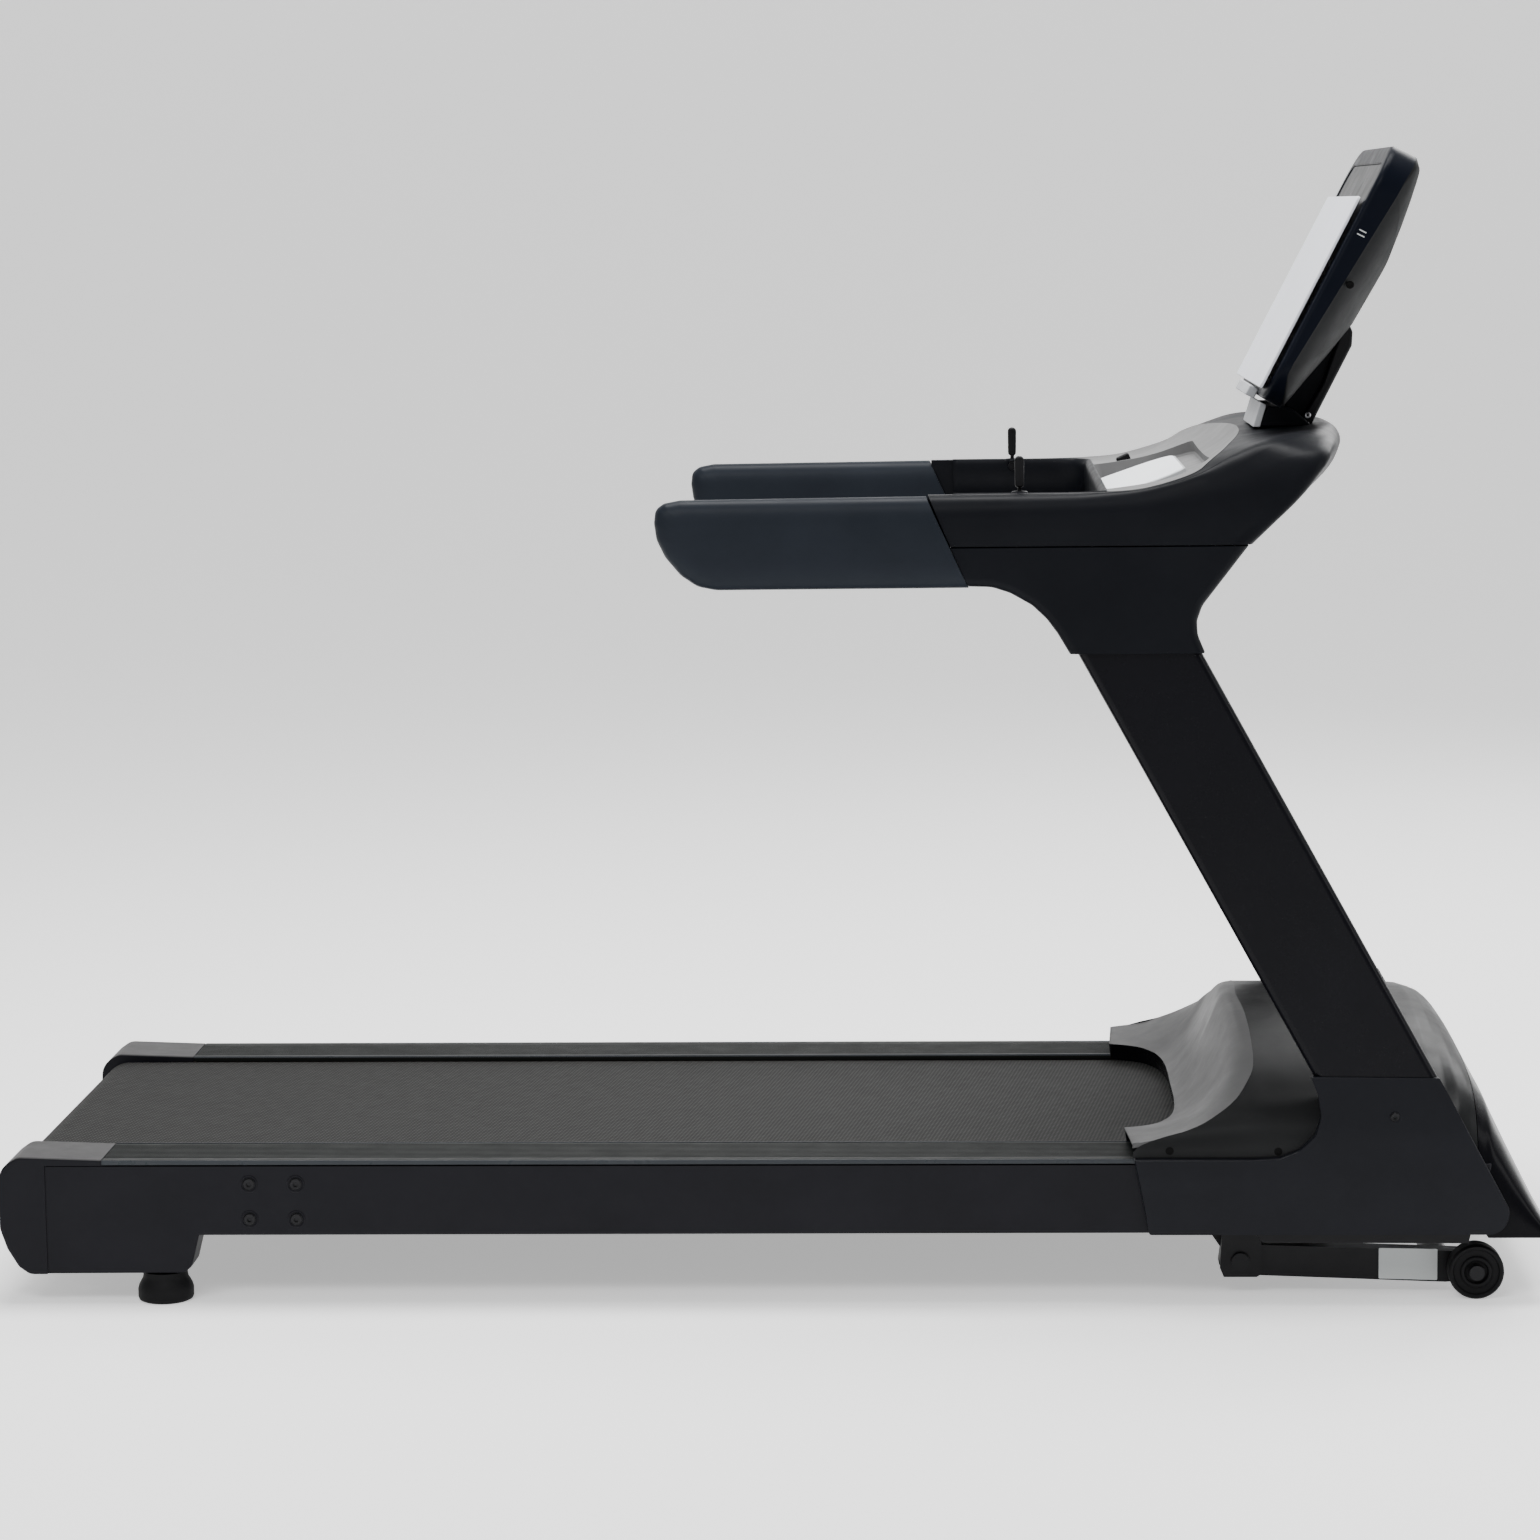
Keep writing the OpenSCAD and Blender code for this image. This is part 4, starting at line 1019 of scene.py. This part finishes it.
def make_mast():
    core = [(664, 1146, 1), (679, 1174, 2), (700, 1174, 4), (716, 1168, 4), (736, 1150, 4), (734, 1146, 1)]
    add_piece("console_neck_core", *plate(core, -97, 97, 3, 3), COWL_BLACK, ["console_neck"],
              slot="cowl_black")
    face = [(658.5, 1146, 1), (669, 1180, 1), (676.5, 1176, 1), (668, 1146, 1)]
    add_piece("console_neck_face", *plate(face, -100, 100, 1.5, 1.5), LIGHT_GREY, slot="light_grey")
    arm = [(722, 1148, 1), (741, 1148, 1), (795, 1254, 6), (796, 1273, 8), (791.5, 1284, 4), (779.6, 1274, 6),
           (755, 1204, 20)]
    add_piece("mast_arm_plate", *plate(arm, -70, 70, 4, 4), BLACK_METAL, ["mast_arm"], slot="bolt_black")
    web = [(702, 1150, 3), (725, 1150, 3), (760, 1205, 10), (786, 1268, 3), (774, 1262, 3), (746, 1225, 20),
           (706, 1180, 20)]
    add_piece("mast_web", *plate(web, -60, 60, 3, 3), COWL_BLACK, slot="cowl_black")
    heads = [hex_screw((735, 1160), 70, 4.5, 2.0, 1.6, side) for side in (-1, 1)]
    add_piece("mast_screws", *joined(*heads), STEEL, slot="steel", weld=0.01)


def make_ports():
    """Two slots and a round jack in the console's right edge."""
    ports = []
    for w in (234, 240):
        port = [(10, w - 1, 0.5), (21, w - 1, 0.5), (21, w + 1, 0.5), (10, w + 1, 0.5)]
        ports.append(loft([on_console([(p[0], y, p[1]) for p in rounded(port, 4, d)])
                           for y, d in ((-245.5, 0.3), (-243.5, 0))]))
    add_piece("console_ports", *joined(*ports), LABEL, slot="back_shell")
    jack = [(0.01, -0.6), (3.4, -0.8), (4.2, -2.2), (5.2, -1.6), (5.4, 2)]
    add_piece("console_jack", *turned(jack, (776, -240.5, 1340), "y", 28), SCREW_DARK, slot="control_black")


make_console()
make_back_shell()
make_tablet_rest()
make_mast()
make_ports()


# ---------------- controls, wheels, feet
def make_levers():
    x, y = 337, 362
    paddle = [(330.8, 1084, 4), (342.6, 1084, 4), (343, 1125, 5.6), (330.5, 1125, 5.6)]
    stem = [(0.01, 1063), (4, 1063), (4, 1074), (3.1, 1078), (2.8, 1083), (4.4, 1088), (4.4, 1090)]
    hub = [(0.01, -5), (5.2, -5), (5.8, -4), (5.8, 4), (5.2, 5), (0.01, 5)]
    shape = joined(plate(paddle, 354.5, 369.5, 3, 3, 4), turned(stem, (x, y, 0), "z", 28),
                   turned(hub, (x, y, 1068), "y", 28))
    add_piece("incline_lever_paddle", *shape, BLACK_METAL, ["incline_lever"],
              slot="control_black", body="incline_lever")
    add_piece("speed_lever_paddle", *mirrored(*shape), BLACK_METAL, ["speed_lever"],
              slot="control_black", body="speed_lever")
    collar = [(11, 1076.2), (10.5, 1078.4), (9, 1079.2), (7.2, 1078.8)]
    both_sides("lever_collar", turned(collar, (x, y, 0), "z", 32), BLACK_SATIN, slot="control_black")


def make_safety_key():
    grip = [(40, 277, 3), (60, 277, 3), (60, 291, 3), (40, 291, 3)]
    rings = [on_dash([(p[0], p[1], height) for p in rounded(grip, 5, drawn)], KEY_RISE)
             for height, drawn in ((-22.5, 0), (-11, 0), (-9.5, 1.2), (-9, 2.6))]
    add_piece("safety_key_grip", *loft(rings), BLACK_METAL, ["safety_key"],
              slot="control_black", body="safety_key")


def make_wheels():
    x, y, z = 939, 363, 37
    profile = [(6.1, -16), (13, -16), (14.5, -13), (29, -12.5), (31, -15.5), (34.5, -16), (36.6, -13.5),
               (37, -10), (37, 10), (36.6, 13.5), (34.5, 16), (31, 15.5), (29.5, 12.5), (21.5, 12),
               (20.5, 14.8), (19, 15.6), (16.5, 15.6), (15.2, 14), (14.8, 10), (12, 9.6), (6.1, 9.6),
               (6.1, -16)]
    for side, sign in SIDES:
        shape = turned([(r, sign * h) for r, h in profile], (x, sign * y, z), "y", 80)
        add_piece(f"wheel_tyre_{side}", *shape, RUBBER, [f"wheel_{side}"],
                  slot="wheel_rubber", sharp=45, body=f"wheel_{side}")
        hub = hex_screw((x, z), 373.6, 9.5, 4, 4.8, sign)
        add_piece(f"wheel_hub_bolt_{side}", *hub, BOLT, slot="steel", weld=0.01, body="lift")


def make_label():
    """Blank rating plate on the near side of the lift."""
    low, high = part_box("lift_arm_right")
    face, middle = low[1] / MM, (low[2] + high[2]) / 2 / MM
    outline = [(813, middle - 40, 1.5), (891, middle - 42, 1.5), (891, middle + 0.5, 1.5),
               (813, middle + 2, 1.5)]
    add_piece("rating_plate", *plate(outline, face - 0.6, face + 0.2, 0.2, 0.1), LABEL,
              slot="galvanised", body="lift")


def make_feet():
    """Rubber pads with the threaded stem that screws into each end cap."""
    pad = [(0.01, 0), (33, 0), (36, 1.5), (37.4, 5), (37.4, 16), (36, 21), (33.5, 26), (31, 30), (30, 34),
           (29.5, 39.5), (5.9, 40)]
    pitch = 1.8
    thread = []
    for k in range(26):
        thread += [(5.9, 40 + pitch * k), (5.2, 40.9 + pitch * k)]
    for side, sign in SIDES:
        shape = turned(pad + thread + [(0.01, 88)], (-817, sign * 370, 0), "z", 64)
        add_piece(f"foot_pad_{side}", *shape, RUBBER, [f"foot_{side}"], slot="rubber_black",
                  sharp=45, body=f"foot_{side}")


make_levers()
make_safety_key()
make_wheels()
make_feet()
make_label()


# ---------------- stage
def pale(name, colour, rough, glow):
    """A plain surface for the studio, lifted by a glow of its own."""
    material = bpy.data.materials.new(name)
    material.use_nodes = True
    inputs = material.node_tree.nodes["Principled BSDF"].inputs
    inputs["Base Color"].default_value = (colour, colour, colour, 1)
    inputs["Roughness"].default_value = rough
    inputs["Specular IOR Level"].default_value = 0.1
    inputs["Emission Color"].default_value = (1, 1, 1, 1)
    inputs["Emission Strength"].default_value = glow
    return material


def make_stage():
    """A floor that bends up into a wall behind the treadmill, in metres."""
    side, near, far, rise, bend = 30.0, -26.0, 7.0, 12.0, 3.0
    rows = [(near, 0.0), (far, 0.0)]
    for a in np.linspace(0, math.pi / 2, 12)[1:]:
        rows.append((far + bend * math.sin(a), bend - bend * math.cos(a)))
    rows.append((far + bend, rise))
    verts = [(x, y, z) for y, z in rows for x in (-side, side)]
    faces = [(2 * i, 2 * i + 1, 2 * i + 3, 2 * i + 2) for i in range(len(rows) - 1)]
    mesh = bpy.data.meshes.new("floor")
    mesh.from_pydata(verts, [], faces)
    for polygon in mesh.polygons:
        polygon.use_smooth = True
    mesh.materials.append(pale("pale_floor", 0.9, 0.9, 0.5))
    placed("floor", mesh)


def area_light(name, place, target, size, power):
    """A rectangular light, in metres and watts, aimed at a point."""
    data = bpy.data.lights.new(name, "AREA")
    data.shape = "RECTANGLE"
    data.size, data.size_y = size
    data.energy = power
    light = placed(name, data)
    light.location = place
    light.rotation_mode = "QUATERNION"
    light.rotation_quaternion = (Vector(target) - Vector(place)).to_track_quat("-Z", "Y")


def make_lights():
    world = bpy.data.worlds.new("studio")
    world.use_nodes = True
    world.node_tree.nodes["Background"].inputs["Color"].default_value = (1, 1, 1, 1)
    world.node_tree.nodes["Background"].inputs["Strength"].default_value = 0.4
    bpy.context.scene.world = world
    area_light("key", (-1.5, -4.5, 4.5), (0, 0, 0.6), (3.5, 1.5), 170)
    area_light("overhead", (0.3, 0.3, 4.6), (0.2, 0, 0.5), (3.5, 2.0), 330)
    area_light("back", (2.5, 3.6, 3.2), (0.3, 0, 0.6), (2.5, 2.5), 110)
    area_light("right", (4.2, -1.0, 1.8), (0.6, 0, 0.7), (1.2, 2.6), 35)


make_stage()
make_lights()

bpy.context.view_layer.update()
